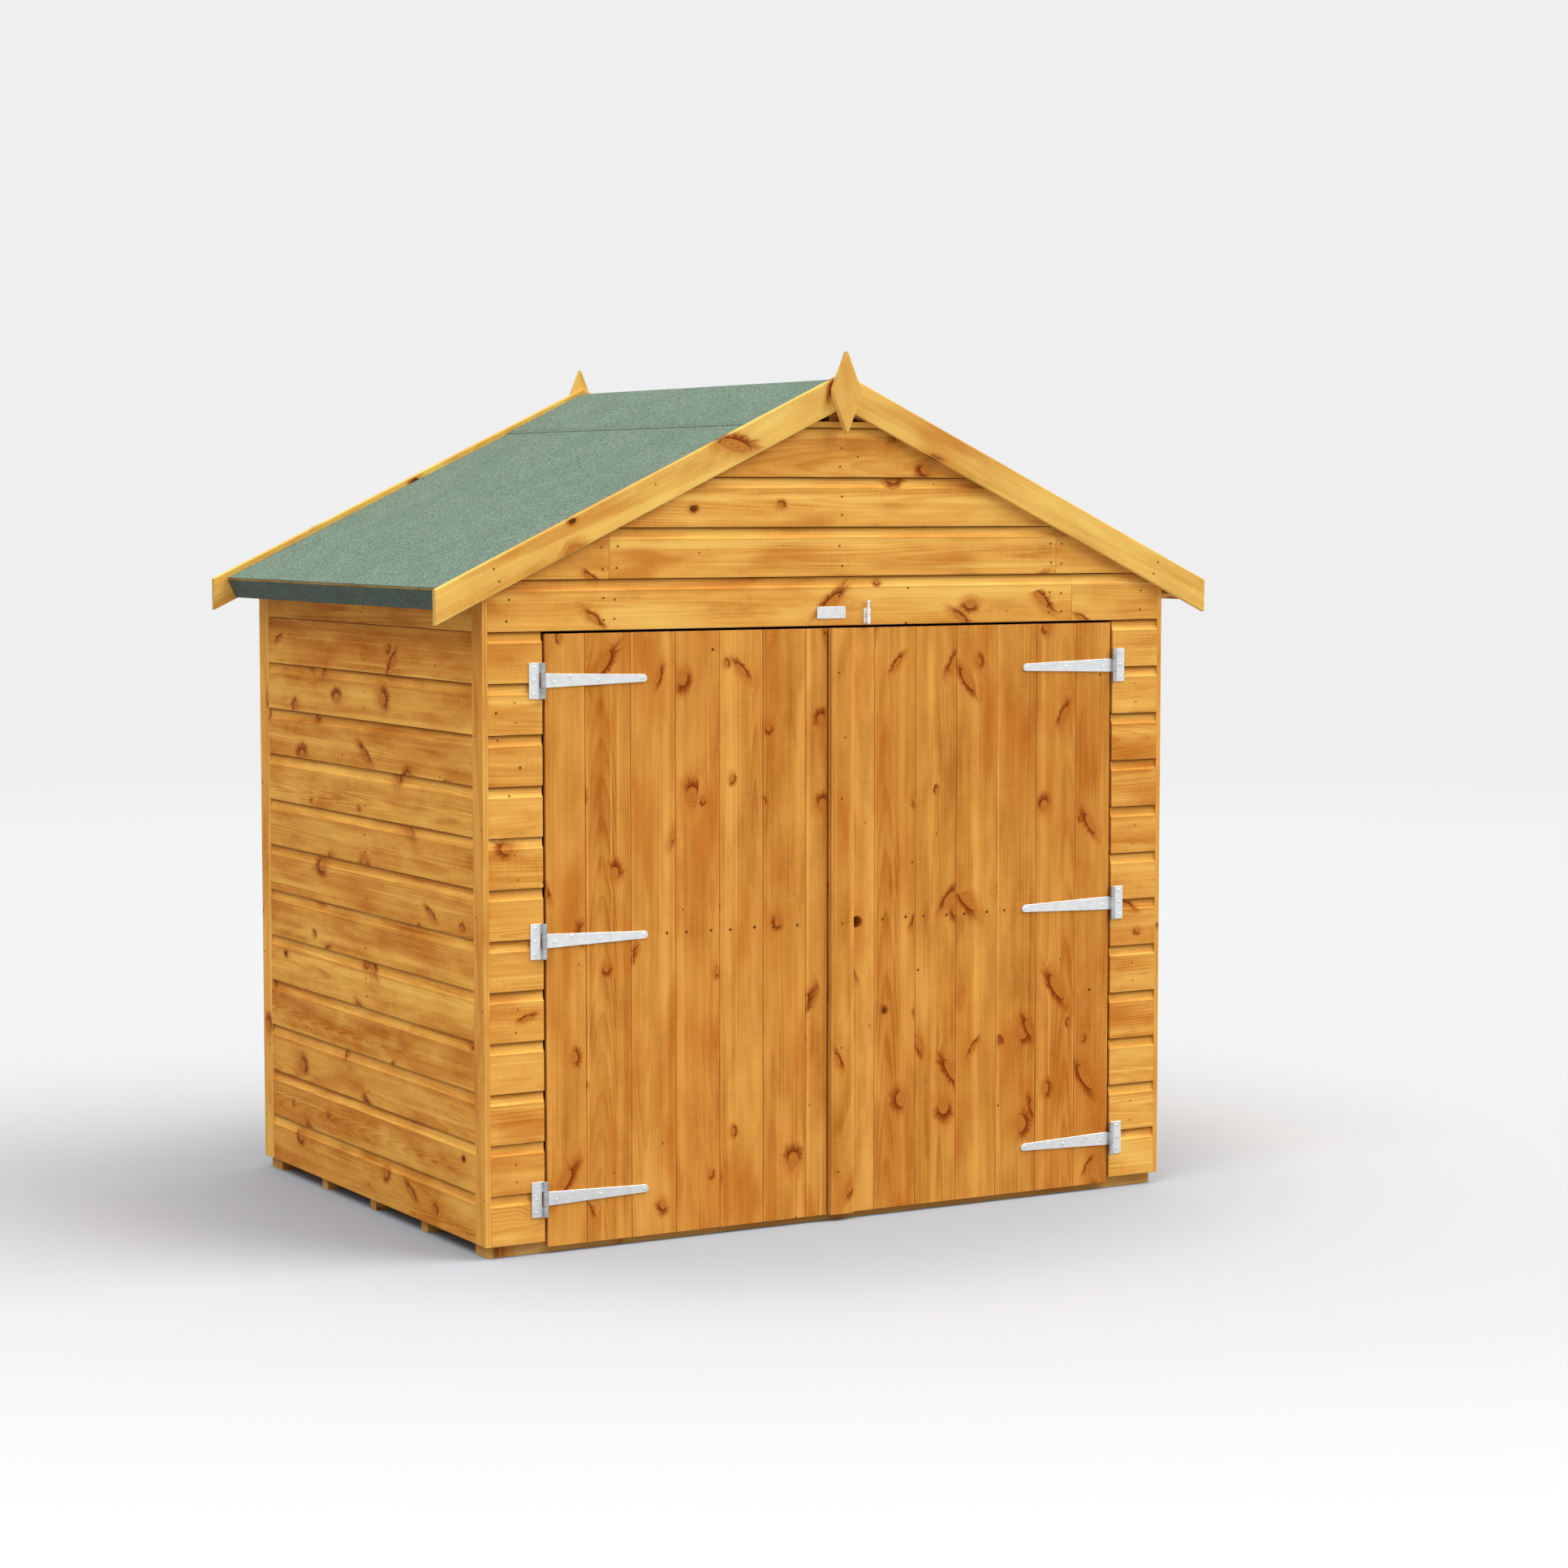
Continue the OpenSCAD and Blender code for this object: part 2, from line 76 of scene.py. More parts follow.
# Boards
COURSES = 12
COVER = (HEAD_Z - CLAD_BOTTOM) / COURSES
SCOOP_H = 0.024
SCOOP_D = 0.006
SLOT_H = 0.0017
SLOT_D = 0.0095
LAP = 0.009
LAP_GAP = 0.0004
ROOF_GAP = 0.001
EASE = 0.0012
# Width of the band over which the painted highlight and wear of an eased edge fade out
WEAR_AND_LIGHT_BAND = 0.0025
FACE_STEPS = 6
BOARD_PLAY = 0.0005
GABLE_JOINTS = {0: (0.638,), 1: (-0.592, 0.592)}
BACK_JOINTS = {1: (-0.62, 0.62)}

# Roof
PITCH = radians(25.2)
SIN = sin(PITCH)
COS = cos(PITCH)
TAN = tan(PITCH)
ROOF_T = 0.011
FELT_T = 0.003
FELT_REVEAL = 0.004
SEAT_GAP = 0.0001
RAKING_GAP = 0.0005
RIDGE_CLEAR = 0.004
BATTEN_W = 0.028
BATTEN_H = 0.040
RIDGE_BATTEN_U = 0.032
RIDGE_FELT_W = 0.237
RIDGE_EDGE_T = 0.0009
RIDGE_TAPER = 0.15
FOLD_R = 0.012
FOLD_D = 0.0016
APRON_EASE = 0.0006
APRON_BAND = 0.0008
SHEET_ROWS = 56
RIDGE_ROWS = 64
FELT_COLUMNS = 72
FELT_WAVES = Vector((5.0, 7.0, 5.0))
BARGE_W = 0.070
FINIAL_CUT = 0.004
RIDGE_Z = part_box("roof_boards_right")[1].z - ROOF_T / COS
FELT_U = (FELT_X - (ROOF_T - FELT_REVEAL) * SIN) / COS
EAVES_U = FELT_U - FELT_T

# Frame and floor timber
STUD_T = 0.028
STUD_W = 0.045
SIDE_Y = FRAME_Y - STUD_T
SIDE_STUDS = 3
BACK_STUDS = 5
OUTER_JOIST_W = 0.065
INNER_JOIST_W = 0.035
INNER_JOISTS = 3

# Doors
DOOR_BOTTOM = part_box("left_door_boards")[0].z
DOOR_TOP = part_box("left_door_boards")[1].z
DOOR_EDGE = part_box("right_door_boards")[1].x
FIRST_BOARD_W = 0.097
LAST_BOARD_W = 0.040
GROOVE_W = 0.005
GROOVE_D = 0.003
TONGUE_L = 0.004
TONGUE_T = 0.003
LOCK_X = 0.045
LOCK_Z = 0.691
LOCK_R = 0.014
LEDGE_H = 0.070

# Hinges
PIN = Vector(frame["joints"][1]["pos_m"])
HINGE_PITCH = 0.572
HINGE_ZS = [PIN.z + step * HINGE_PITCH for step in (-1, 0, 1)]
BARREL_R = 0.006
BARREL_GAP = 0.001
BARREL_EDGE = 0.0006
KNUCKLE_GAP = 0.0005
HINGE_T = 0.0025
METAL_EDGE = 0.0004
PLATE_W = 0.032
PLATE_H = 0.079
STRAP_L = 0.258
STRAP_ROOT_W = 0.032
STRAP_TIP_W = 0.017
PLATE_SCREW_X = -0.0205
PLATE_SCREW_ZS = (-0.029, 0, 0.029)
STRAP_SCREWS = ((0.028, -0.004), (0.068, 0.007), (0.137, -0.002), (0.247, 0))
SCREW_R = 0.0042

# Bolt and bare plate
CORNER_R = 0.003
BOLT_PLATE_T = 0.002
GUIDE_H = 0.011
GUIDE_INSET = 0.002
FOOT_INSET = 0.0005
FOOT_T = 0.0012
ROD_R = 0.0035
ROD_EDGE = 0.0008
CAP_H = 0.006
BOLT_SCREW_X = 0.0068
BOLT_SCREW_Z = 0.004
BOLT_SCREW_R = 0.0016
BARE_PLATE_X = (-0.0626, 0.0129)
BARE_PLATE_Z = (1.3915, 1.4189)
BARE_PLATE_T = 0.0016
BARE_SCREW_INSET = 0.005
BARE_SCREW_R = 0.0017

# Nails. Rises are their heights in each course, in turn, and plays are the most they stray.
NAIL_R = 0.0027
DOOR_NAIL_R = 0.0037
STRIP_NAIL_R = 0.0020
NAIL_RISES = ((0.024, 0.070),)
SIDE_NAIL_RISES = ((0.034,), (0.030, 0.068), (0.026,))
STRIP_NAIL_RISES = ((), (0.024, 0.070), ())
NAIL_PLAY = 0.005
RISE_PLAY = 0.004
GABLE_NAIL_XS = (-0.84, -0.61, -0.575, 0.0, 0.575, 0.61, 0.84)
GABLE_NAIL_EDGE = 0.02
TRIM_NAILS = 7
TRIM_NAIL_Z = 0.09
TRIM_NAIL_STEP = 0.21
TRIM_NAIL_PLAY = 0.02
TRIM_NAIL_EDGE = 0.012
TRIM_NAIL_ROW = 0.03
BARGE_NAIL_RUN = 0.98
BARGE_NAIL_ROWS = (-0.020, -0.050)
DOOR_NAIL_SHARES = (0.24, 0.80)
DOOR_NAIL_Z = -0.002
DOOR_NAIL_PLAY = 0.002
STRAP_CLEAR = 0.01
LOCK_CLEAR = 0.03
MEETING_CLEAR = 0.066
COVER_NAILS = 5
COVER_NAIL_Z = 0.10
COVER_NAIL_STEP = 0.288
COVER_NAIL_PLAY = 0.012


# Outlines

def shrink(outline, distance):
    """The outline moved inwards by a distance, corner by corner."""
    count = len(outline)
    area = 0
    for i, point in enumerate(outline):
        after = outline[(i + 1) % count]
        area += point[0] * after[1] - after[0] * point[1]
    side = 1 if area > 0 else -1
    moved = []
    for i, point in enumerate(outline):
        here = Vector(point[:2])
        before = (here - Vector(outline[i - 1][:2])).normalized()
        after = (Vector(outline[(i + 1) % count][:2]) - here).normalized()
        inward = Vector((-before.y - after.y, before.x + after.x)) * side
        here += inward * (2 * distance / max(inward.length_squared, 0.4))
        moved.append((here.x, here.y) + tuple(point[2:]))
    return moved


def eased(corners, ease=EASE, band=WEAR_AND_LIGHT_BAND):
    """A section with rounded corners: (across, out, light) points, where light marks the rounded edges with
    a painted highlight and wear.
    """
    section = []
    for i, corner in enumerate(corners):
        here = Vector(corner)
        back = (Vector(corners[i - 1]) - here).normalized()
        on = (Vector(corners[(i + 1) % len(corners)]) - here).normalized()
        middle = (back + on) * (1 - sqrt(0.5))
        moves = ((back * (ease + band), 0), (back * ease, 0.7), (middle * ease, 1),
                 (on * ease, 0.7), (on * (ease + band), 0))
        for move, wear_and_light in moves:
            point = here + move
            section.append((point.x, point.y, wear_and_light))
    return section


def rectangle(a0, a1, t0, t1):
    """Corners of a rectangle, in order."""
    return [(a0, t0), (a1, t0), (a1, t1), (a0, t1)]


def cut_level(section, top):
    """The part of a section below a height."""
    kept = []
    for i, (a, t, wear_and_light) in enumerate(section):
        last_a, last_t, _ = section[i - 1]
        if (a < top) != (last_a < top):
            share = (top - last_a) / (a - last_a)
            kept.append((top, last_t + (t - last_t) * share, 0))
        if a < top:
            kept.append((a, t, wear_and_light))
    return kept


def arc(centre, radius, first, last, steps):
    """Points on an arc, with its angles in degrees."""
    points = []
    for k in range(steps + 1):
        angle = radians(first + (last - first) * k / steps)
        points.append((centre[0] + radius * cos(angle), centre[1] + radius * sin(angle)))
    return points


def rounded_rectangle(a0, a1, b0, b1, radius, steps=4):
    """Outline of a rectangle with round corners."""
    points = []
    corners = ((a1, b1, -1, -1, 0), (a0, b1, 1, -1, 90), (a0, b0, 1, 1, 180), (a1, b0, -1, 1, 270))
    for a, b, left, down, angle in corners:
        points += arc((a + left * radius, b + down * radius), radius, angle, angle + 90, steps)
    return points


# Meshes

class Piece:
    """One mesh of the shed. Each board in it has its own grain, measured along, across and through it."""

    def __init__(self, name):
        self.name = name
        self.random = random.Random(name)
        self.points = []
        self.faces = []

    def rings(self, rings):
        """Adds rings of (place, grain, painted light) points as a new board, and returns each one's first
        number.
        """
        seed = (self.random.random(), self.random.random(), self.random.random())
        firsts = []
        for ring in rings:
            firsts.append(len(self.points))
            self.points += [point + (seed,) for point in ring]
        return firsts

    def stray(self, play):
        return self.random.uniform(-play, play)

    def face(self, corners, end=0.0):
        self.faces.append((corners, end))

    def skin(self, rings, end=0.0, looped=False):
        """Joins rings of points, and caps them unless looped. end marks the outer bands and the caps."""
        firsts = self.rings(rings)
        count = len(rings[0])
        bands = list(zip(firsts, firsts[1:] + (firsts[:1] if looped else [])))
        for k, (low, high) in enumerate(bands):
            outer = end if k in (0, len(bands) - 1) else 0.0
            for i in range(count):
                j = (i + 1) % count
                self.face((low + i, low + j, high + j, high + i), outer)
        if not looped:
            for first in (firsts[0], firsts[-1]):
                self.face(tuple(range(first, first + count)), end)

    def run(self, section, start, end, axes, place=ORIGIN):
        """A board: the section's (across, out, painted light) points run along the first axis, from start to
        end.
        Where an end isn't square, it is a function of the point's place across the board."""
        along, across, out = axes
        middle = (min(p[0] for p in section) + max(p[0] for p in section)) / 2
        inner = shrink(section, EASE / 2)
        rings = []
        for outline, stop, shift in ((inner, start, 0), (section, start, EASE / 2),
                                     (section, end, -EASE / 2), (inner, end, 0)):
            ring = []
            for a, t, wear_and_light in outline:
                run = (stop(a) if callable(stop) else stop) + shift
                ring.append((place + along * run + across * a + out * t, (run, a - middle, t), wear_and_light))
            rings.append(ring)
        self.skin(rings, 1.0)

    def timber(self, low, high, along):
        """A timber between two corners, with its grain along one axis."""
        low = Vector(low)
        high = Vector(high)
        across, out = sorted((axis for axis in (X, Y, Z) if axis != along),
                             key=lambda axis: -(high - low).dot(axis))
        section = eased(rectangle(low.dot(across), high.dot(across), low.dot(out), high.dot(out)))
        self.run(section, low.dot(along), high.dot(along), (along, across, out))

    def plate(self, outline, low, high, axes, place=ORIGIN, ease=EASE):
        """A flat piece: the outline's (along, across) points, from low to high on the third axis. Its eased
        edges carry a painted highlight, strongest at the top.
        """
        along, across, out = axes
        inner = shrink(outline, ease)
        flat = shrink(outline, ease + WEAR_AND_LIGHT_BAND / 2)
        levels = ((inner, low, 0), (outline, low + ease, 0.2), (outline, high - ease, 0.3),
                  (inner, high, 0.5), (flat, high, 0))
        self.skin([[(place + along * a + across * b + out * height, (a, b, height), wear_and_light) for a, b in points]
                   for points, height, wear_and_light in levels])

    def pierced(self, low, high, hole, radius, back, front, axes, steps=40):
        """A board with a round hole: corners of its face as (along, across), and its back and front. The
        edge of its face and the rim of the hole carry a painted highlight.
        """
        along, across, out = axes
        middle = (low[1] + high[1]) / 2
        corners = rectangle(low[0], high[0], low[1], high[1])
        angles = [atan2(b - hole[1], a - hole[0]) for a, b in corners]
        angles = sorted(angles + [tau * (k + 0.5) / steps - pi for k in range(steps)])

        def edge(angle, inset):
            """Distance from the hole's middle to the edge of the board."""
            reach = []
            for axis, step in enumerate((cos(angle), sin(angle))):
                if abs(step) > 1e-9:
                    wall = high[axis] - inset if step > 0 else low[axis] + inset
                    reach.append((wall - hole[axis]) / step)
            return min(reach)

        outside = [(0, back, 0), (0, front - EASE, 0.7), (EASE, front, 1)]
        inside = [(radius + EASE, front, 0.3), (radius, front - EASE, 0.7), (radius, back, 0)]
        rings = []
        for size, height, wear_and_light in outside + inside:
            ring = []
            for angle in angles:
                reach = size if size >= radius else edge(angle, size)
                a = hole[0] + reach * cos(angle)
                b = hole[1] + reach * sin(angle)
                ring.append((along * a + across * b + out * height, (a, b - middle, height), wear_and_light))
            rings.append(ring)
        self.skin(rings, looped=True)

    def turn(self, profile, place, axis, steps=24):
        """A round piece: (radius, height, lobe) points turned about an axis. A lobe makes a ring a cross."""
        side = axis.orthogonal().normalized()
        other = axis.cross(side)
        rings = []
        for radius, height, lobe in profile:
            ring = []
            for k in range(steps):
                angle = tau * k / steps
                reach = radius * (1 + lobe * cos(4 * angle))
                arm = side * cos(angle) + other * sin(angle)
                ring.append((place + arm * reach + axis * height, (height, angle * radius, reach), 0))
            rings.append(ring)
        self.skin(rings)

    def slab(self, surface, rows, columns):
        """A sheet whose top and bottom are a function of two shares from 0 to 1, and of which it is."""
        sheets = []
        for is_top in (True, False):
            places = [surface(i / rows, j / columns, is_top)
                      for i in range(rows + 1) for j in range(columns + 1)]
            sheets.append([(place, tuple(place), 0) for place in places])
        top, bottom = self.rings(sheets)
        width = columns + 1
        for first in (top, bottom):
            for i in range(rows):
                for j in range(columns):
                    corner = first + i * width + j
                    self.face((corner, corner + 1, corner + width + 1, corner + width))
        rim = [j for j in range(columns)] + [i * width + columns for i in range(rows)]
        rim += [rows * width + j for j in range(columns, 0, -1)] + [i * width for i in range(rows, 0, -1)]
        for corner, after in zip(rim, rim[1:] + rim[:1]):
            self.face((top + corner, top + after, bottom + after, bottom + corner))

    def make(self, finish, *nodes, body="shed"):
        """The mesh as an object that rides on a body and stands for the nodes named."""
        slot, material = finish
        mesh = bpy.data.meshes.new(self.name)
        places, grain, wear_and_light, board = zip(*self.points)
        faces, ends = zip(*self.faces)
        mesh.from_pydata(places, [], faces)
        work = bmesh.new()
        work.from_mesh(mesh)
        bmesh.ops.recalc_face_normals(work, faces=work.faces)
        work.to_mesh(mesh)
        work.free()
        for name, values in (("grain", grain), ("board", board)):
            layer = mesh.attributes.new(name, "FLOAT_VECTOR", "POINT")
            layer.data.foreach_set("vector", [number for value in values for number in value])
        # Painted light of each point (highlights on eased edges, shade in hollows and slots), and the end
        # grain of each face
        for name, domain, values in (("wear_and_light", "POINT", wear_and_light), ("end", "FACE", ends)):
            mesh.attributes.new(name, "FLOAT", domain).data.foreach_set("value", values)
        mesh.polygons.foreach_set("use_smooth", [True] * len(mesh.polygons))
        mesh.set_sharp_from_angle(angle=radians(30))
        mesh.materials.append(material)
        piece = bpy.data.objects.new(self.name, mesh)
        bpy.context.scene.collection.objects.link(piece)
        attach(piece, body)
        if nodes:
            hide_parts(*nodes)


# Materials

class Shader:
    """Short names for the nodes of a material or a world."""

    def __init__(self, owner):
        owner.use_nodes = True
        self.owner = owner
        self.tree = owner.node_tree
        self.tree.nodes.clear()

    def node(self, kind, inputs, **settings):
        """Adds a node, sets or links its inputs, and returns its outputs."""
        node = self.tree.nodes.new("ShaderNode" + kind)
        for name, value in settings.items():
            setattr(node, name, value)
        for key, value in inputs.items():
            if isinstance(value, bpy.types.NodeSocket):
                self.tree.links.new(value, node.inputs[key])
            else:
                node.inputs[key].default_value = value
        return node.outputs

    def math(self, operation, a, b=0.0, c=0.0):
        return self.node("Math", {0: a, 1: b, 2: c}, operation=operation)[0]

    times = partialmethod(math, "MULTIPLY")
    plus = partialmethod(math, "ADD")
    minus = partialmethod(math, "SUBTRACT")
    over = partialmethod(math, "DIVIDE")
    line = partialmethod(math, "MULTIPLY_ADD")

    def vector(self, operation, a, b):
        return self.node("VectorMath", {0: a, 1: b}, operation=operation)[0]

    def attribute(self, name, output="Vector"):
        return self.node("Attribute", {}, attribute_name=name)[output]

    def coordinates(self, kind="Object"):
        return self.node("TexCoord", {})[kind]

    def split(self, vector):
        return self.node("SeparateXYZ", {0: vector})

    def join(self, x, y, z=0.0):
        return self.node("CombineXYZ", {0: x, 1: y, 2: z})[0]

    def noise(self, vector, scale=1.0, detail=2.0, roughness=0.5):
        inputs = {"Vector": vector, "Scale": scale, "Detail": detail, "Roughness": roughness}
        return self.node("TexNoise", inputs)["Fac"]

    def streaks(self, vector, scales, detail=2.0, roughness=0.5):
        """Noise with a scale of its own along each axis."""
        return self.noise(self.vector("MULTIPLY", vector, scales), 1.0, detail, roughness)

    def ramp(self, value, low, high, to_low=0.0, to_high=1.0):
        """Eases from one number to another as the value goes from low to high."""
        inputs = {"Value": value, "From Min": low, "From Max": high, "To Min": to_low, "To Max": to_high}
        return self.node("MapRange", inputs, interpolation_type="SMOOTHSTEP")[0]

    def mix(self, share, a, b):
        return self.node("Mix", {0: share, 6: a, 7: b}, data_type="RGBA")[2]

    def wash(self, base, tone, share, weight):
        """The base with a tone laid over it."""
        return self.mix(self.times(share, weight), base, tone)

    def length(self, x, y):
        return self.math("SQRT", self.line(x, x, self.times(y, y)))

    def clamp(self, value):
        return self.node("Clamp", {0: value})[0]

    def bump(self, height, strength, distance):
        inputs = {"Height": height, "Strength": strength, "Distance": distance}
        return self.node("Bump", inputs)[0]

    def shown(self):
        """1 for the rays that show a thing, also in or through another, and 0 for those that carry light."""
        path = self.node("LightPath", {})
        seen = self.math("MAXIMUM", path["Is Camera Ray"], path["Is Glossy Ray"])
        return self.math("MAXIMUM", seen, path["Is Transmission Ray"])

    def surface(self, **inputs):
        named = {key.replace("_", " "): value for key, value in inputs.items()}
        shader = self.node("BsdfPrincipled", named)[0]
        self.node("OutputMaterial", {"Surface": shader})
        return self.owner


def colour(*levels):
    """A colour written as it shows on screen, from 0 to 255, as linear light."""
    shares = [level / 255 for level in levels]
    return [s / 12.92 if s <= 0.04045 else ((s + 0.055) / 1.055) ** 2.4 for s in shares] + [1.0]


def pine(name, light, dark, knots=1.0, contrast=1.0, rough=0.55):
    """Treated pine on the board's own grain: rings, streaks, round knots, branch knots and pin knots, with
    painted highlights and shade at edges, hollows and slots.
    """
    s = Shader(bpy.data.materials.new(name))
    light = colour(*light)
    dark = colour(*dark)
    grain_at = s.attribute("grain")
    seeds = s.split(s.attribute("board"))
    along, across, through = s.split(grain_at)
    place = s.vector("ADD", grain_at, s.vector("MULTIPLY", s.attribute("board"), (37.0, 23.0, 11.0)))
    wobble = s.minus(s.streaks(place, (70.0, 70.0, 70.0)), 0.5)

    # Round knots, one in some cells of a stretched pattern, each with its crescent on any side
    dx, dy, chance, size, turn = knot_cell(s, place, (0.27, 0.14), wobble, 0.007)
    present = s.ramp(chance, 1.0 - 0.60 * knots, 1.005 - 0.60 * knots)
    radius = s.line(s.times(size, size), 0.0125, 0.0055)
    way = s.times(turn, 6.283)
    sides = (s.math("COSINE", way), s.math("SINE", way))
    rounds = knot(s, dx, dy, radius, 0.76, sides, present, chance)

    # Branch knots, cut lengthwise: long ovals that lean to either side of the grain
    branch_place = s.vector("ADD", place, (5.3, 2.7, 0.0))
    fx, fy, kind, length, lean = knot_cell(s, branch_place, (0.30, 0.15), wobble, 0.006)
    drawn = s.ramp(kind, 1.0 - 0.50 * knots, 1.005 - 0.50 * knots)
    side = s.line(s.ramp(lean, 0.48, 0.52), 2.0, -1.0)
    angle = s.times(side, s.line(length, 0.45, 0.30))
    cosine = s.math("COSINE", angle)
    sine = s.math("SINE", angle)
    ahead = s.plus(s.times(fx, cosine), s.times(fy, sine))
    beside = s.minus(s.times(fy, cosine), s.times(fx, sine))
    branch_r = s.line(s.times(length, lean), 0.0110, 0.0055)
    branches = knot(s, ahead, beside, branch_r, 0.34, (0.25, 0.97), drawn, kind)

    # Pin knots
    pin_place = s.vector("ADD", place, (9.1, 7.9, 0.0))
    px, py, pin_kind, pin_size, _ = knot_cell(s, pin_place, (0.27, 0.11), wobble, 0.001)
    pin_r = s.line(pin_size, 0.0022, 0.0015)
    pins = s.times(s.ramp(pin_kind, 0.66, 0.67), s.ramp(s.over(s.length(px, py), pin_r), 1.25, 0.75))

    # The grain is pushed aside by the knots
    push = s.plus(s.times(rounds["push"], dy), s.times(branches["push"], fy))
    bent = s.vector("SUBTRACT", place, s.join(0.0, push))
    fine = s.streaks(bent, (4.0, 430.0, 430.0), 3.0, 0.6)
    soft = s.streaks(bent, (1.6, 70.0, 70.0), 3.0, 0.55)
    cloud = s.streaks(bent, (5.0, 17.0, 17.0), 3.0, 0.6)
    tint = s.streaks(bent, (3.2, 12.0, 40.0))
    planed = s.streaks(place, (390.0, 26.0, 26.0))

    # Rings about the heart of the log, which leans
    sway = s.streaks(place, (1.4, 7.0, 7.0))
    off = s.minus(s.line(sway, 0.035, across), s.line(seeds[0], 0.13, -0.047))
    off = s.minus(off, push)
    tilt = s.times(along, s.line(seeds[2], 0.09, -0.045))
    depth = s.plus(s.plus(through, tilt), s.line(seeds[1], 0.05, 0.012))
    ring = s.math("FRACT", s.times(s.length(off, depth), s.line(seeds[2], 90.0, 190.0)))
    late = s.times(s.ramp(ring, 0.30, 0.86), s.ramp(ring, 1.0, 0.92))
    strength = s.ramp(s.streaks(place, (1.2, 9.0, 9.0), 1.0), 0.35, 0.7)
    pale_line = s.ramp(s.streaks(bent, (0.8, 85.0, 85.0), 1.0), 0.64, 0.74)
    band = s.plus(s.line(sway, 0.030, across), s.line(seeds[0], 0.15, -0.09))
    sapwood = s.ramp(s.math("ABSOLUTE", band), 0.013, 0.004)

    # Tones of the wood, from the lightest to the darkest
    shade = s.times(late, s.line(strength, 0.26, 0.06))
    planed_here = s.line(s.minus(planed, 0.5), s.ramp(cloud, 0.35, 0.6, 0.2, 1.0), 0.5)
    for layer, weight in ((fine, 0.46), (soft, 0.58), (cloud, 0.86), (planed_here, 0.32)):
        weight *= contrast
        shade = s.plus(shade, s.line(layer, weight, -0.5 * weight))
    shade = s.plus(shade, s.line(seeds[2], 0.24, 0.33))
    shade = s.minus(shade, s.times(sapwood, 0.30))
    base = s.mix(s.clamp(shade), light, dark)
    pale = (min(1.0, light[0] * 1.10), min(1.0, light[1] * 1.16), light[2] * 1.30, 1.0)
    base = s.wash(base, pale, pale_line, 0.5)
    base = s.wash(base, pale, s.ramp(tint, 0.47, 0.25), 0.45)
    base = s.wash(base, KNOT_GLOW, s.ramp(tint, 0.50, 0.74), 0.55)
    base = s.wash(base, SMOKE_AND_SHADE, s.ramp(cloud, 0.56, 0.80), 0.28)
    base = s.wash(base, KNOT_GLOW, s.ramp(seeds[1], 0.4, 1.0), 0.16)
    for marks in (rounds, branches):
        for mark, tone, weight in (("glow", KNOT_GLOW, 0.50), ("eye", EYE, 0.70), ("lines", KNOT, 0.38),
                                   ("crescent", KNOT, 0.92), ("rim", KNOT_RIM, 0.80)):
            base = s.wash(base, tone, marks[mark], weight)
    dead = s.times(s.ramp(turn, 0.86, 0.89), s.ramp(size, 0.62, 0.58))
    base = s.wash(base, KNOT_DARK, s.times(rounds["eye"], dead), 0.85)
    base = s.wash(base, KNOT_DARK, pins, 0.85)

    # Eased edges are pale with a painted highlight that also stands for wear, hollows and slots are dark
    # with painted shade, and end grain is dark
    wear_and_light = s.attribute("wear_and_light", "Fac")
    base = s.wash(base, pale, s.ramp(wear_and_light, 0.0, 1.0), s.ramp(cloud, 0.3, 0.65, 0.8, 0.3))
    painted_shade = s.times(s.ramp(wear_and_light, 0.0, -1.0), s.ramp(soft, 0.3, 0.6, 0.35, 0.8))
    base = s.mix(s.math("MAXIMUM", painted_shade, s.times(s.attribute("end", "Fac"), 0.40)), base, SMOKE_AND_SHADE)
    base = s.mix(s.ramp(wear_and_light, -1.0, -1.6), base, SLOT_SHADE)

    # The relief has its own plain grain, because a bump works out all that leads to it three times
    grooves = s.streaks(place, (4.0, 380.0, 380.0))
    height = s.plus(s.times(grooves, 0.75), s.times(planed, 0.35))
    return s.surface(Base_Color=base, Roughness=s.line(fine, 0.20, rough - 0.10), Specular_IOR_Level=0.03,
                     Normal=s.bump(height, 0.45, 0.0007))


def knot(s, ahead, beside, radius, flat, sides, present, number):
    """Marks of a kind of knot: a ringed eye, its dark rim, a ragged red crescent on one side, a glow."""
    long_way = s.times(ahead, flat)
    far = s.plus(s.length(long_way, beside), 0.0004)
    share = s.over(far, radius)
    facing = s.over(s.plus(s.times(long_way, sides[0]), s.times(beside, sides[1])), far)
    rays = s.noise(s.join(s.times(s.over(long_way, far), 7.0), s.times(s.over(beside, far), 7.0),
                          s.line(number, 80.0, s.times(share, 0.7))))
    ragged = s.minus(share, s.times(rays, 1.7))
    outer = s.times(s.ramp(facing, -0.45, 0.65), s.ramp(ragged, 1.50, 0.25))
    edge = s.times(s.ramp(share, 0.88, 1.0), s.ramp(share, 1.18, 1.03))
    ripples = s.ramp(s.math("SINE", s.line(share, 17.0, s.times(rays, 4.0))), 0.1, 1.0)
    eye = s.times(present, s.ramp(share, 1.06, 0.90))
    field = s.times(present, s.ramp(share, 3.4, 0.7))
    return {"eye": eye, "lines": s.times(eye, ripples),
            "rim": s.times(s.times(present, edge), s.ramp(facing, -0.9, 0.9, 0.15, 0.9)),
            "crescent": s.times(s.times(present, outer), s.ramp(share, 0.80, 1.04)),
            "glow": s.times(present, s.ramp(ragged, 2.2, -0.2)),
            "push": s.over(s.times(field, radius), s.plus(far, 0.003))}


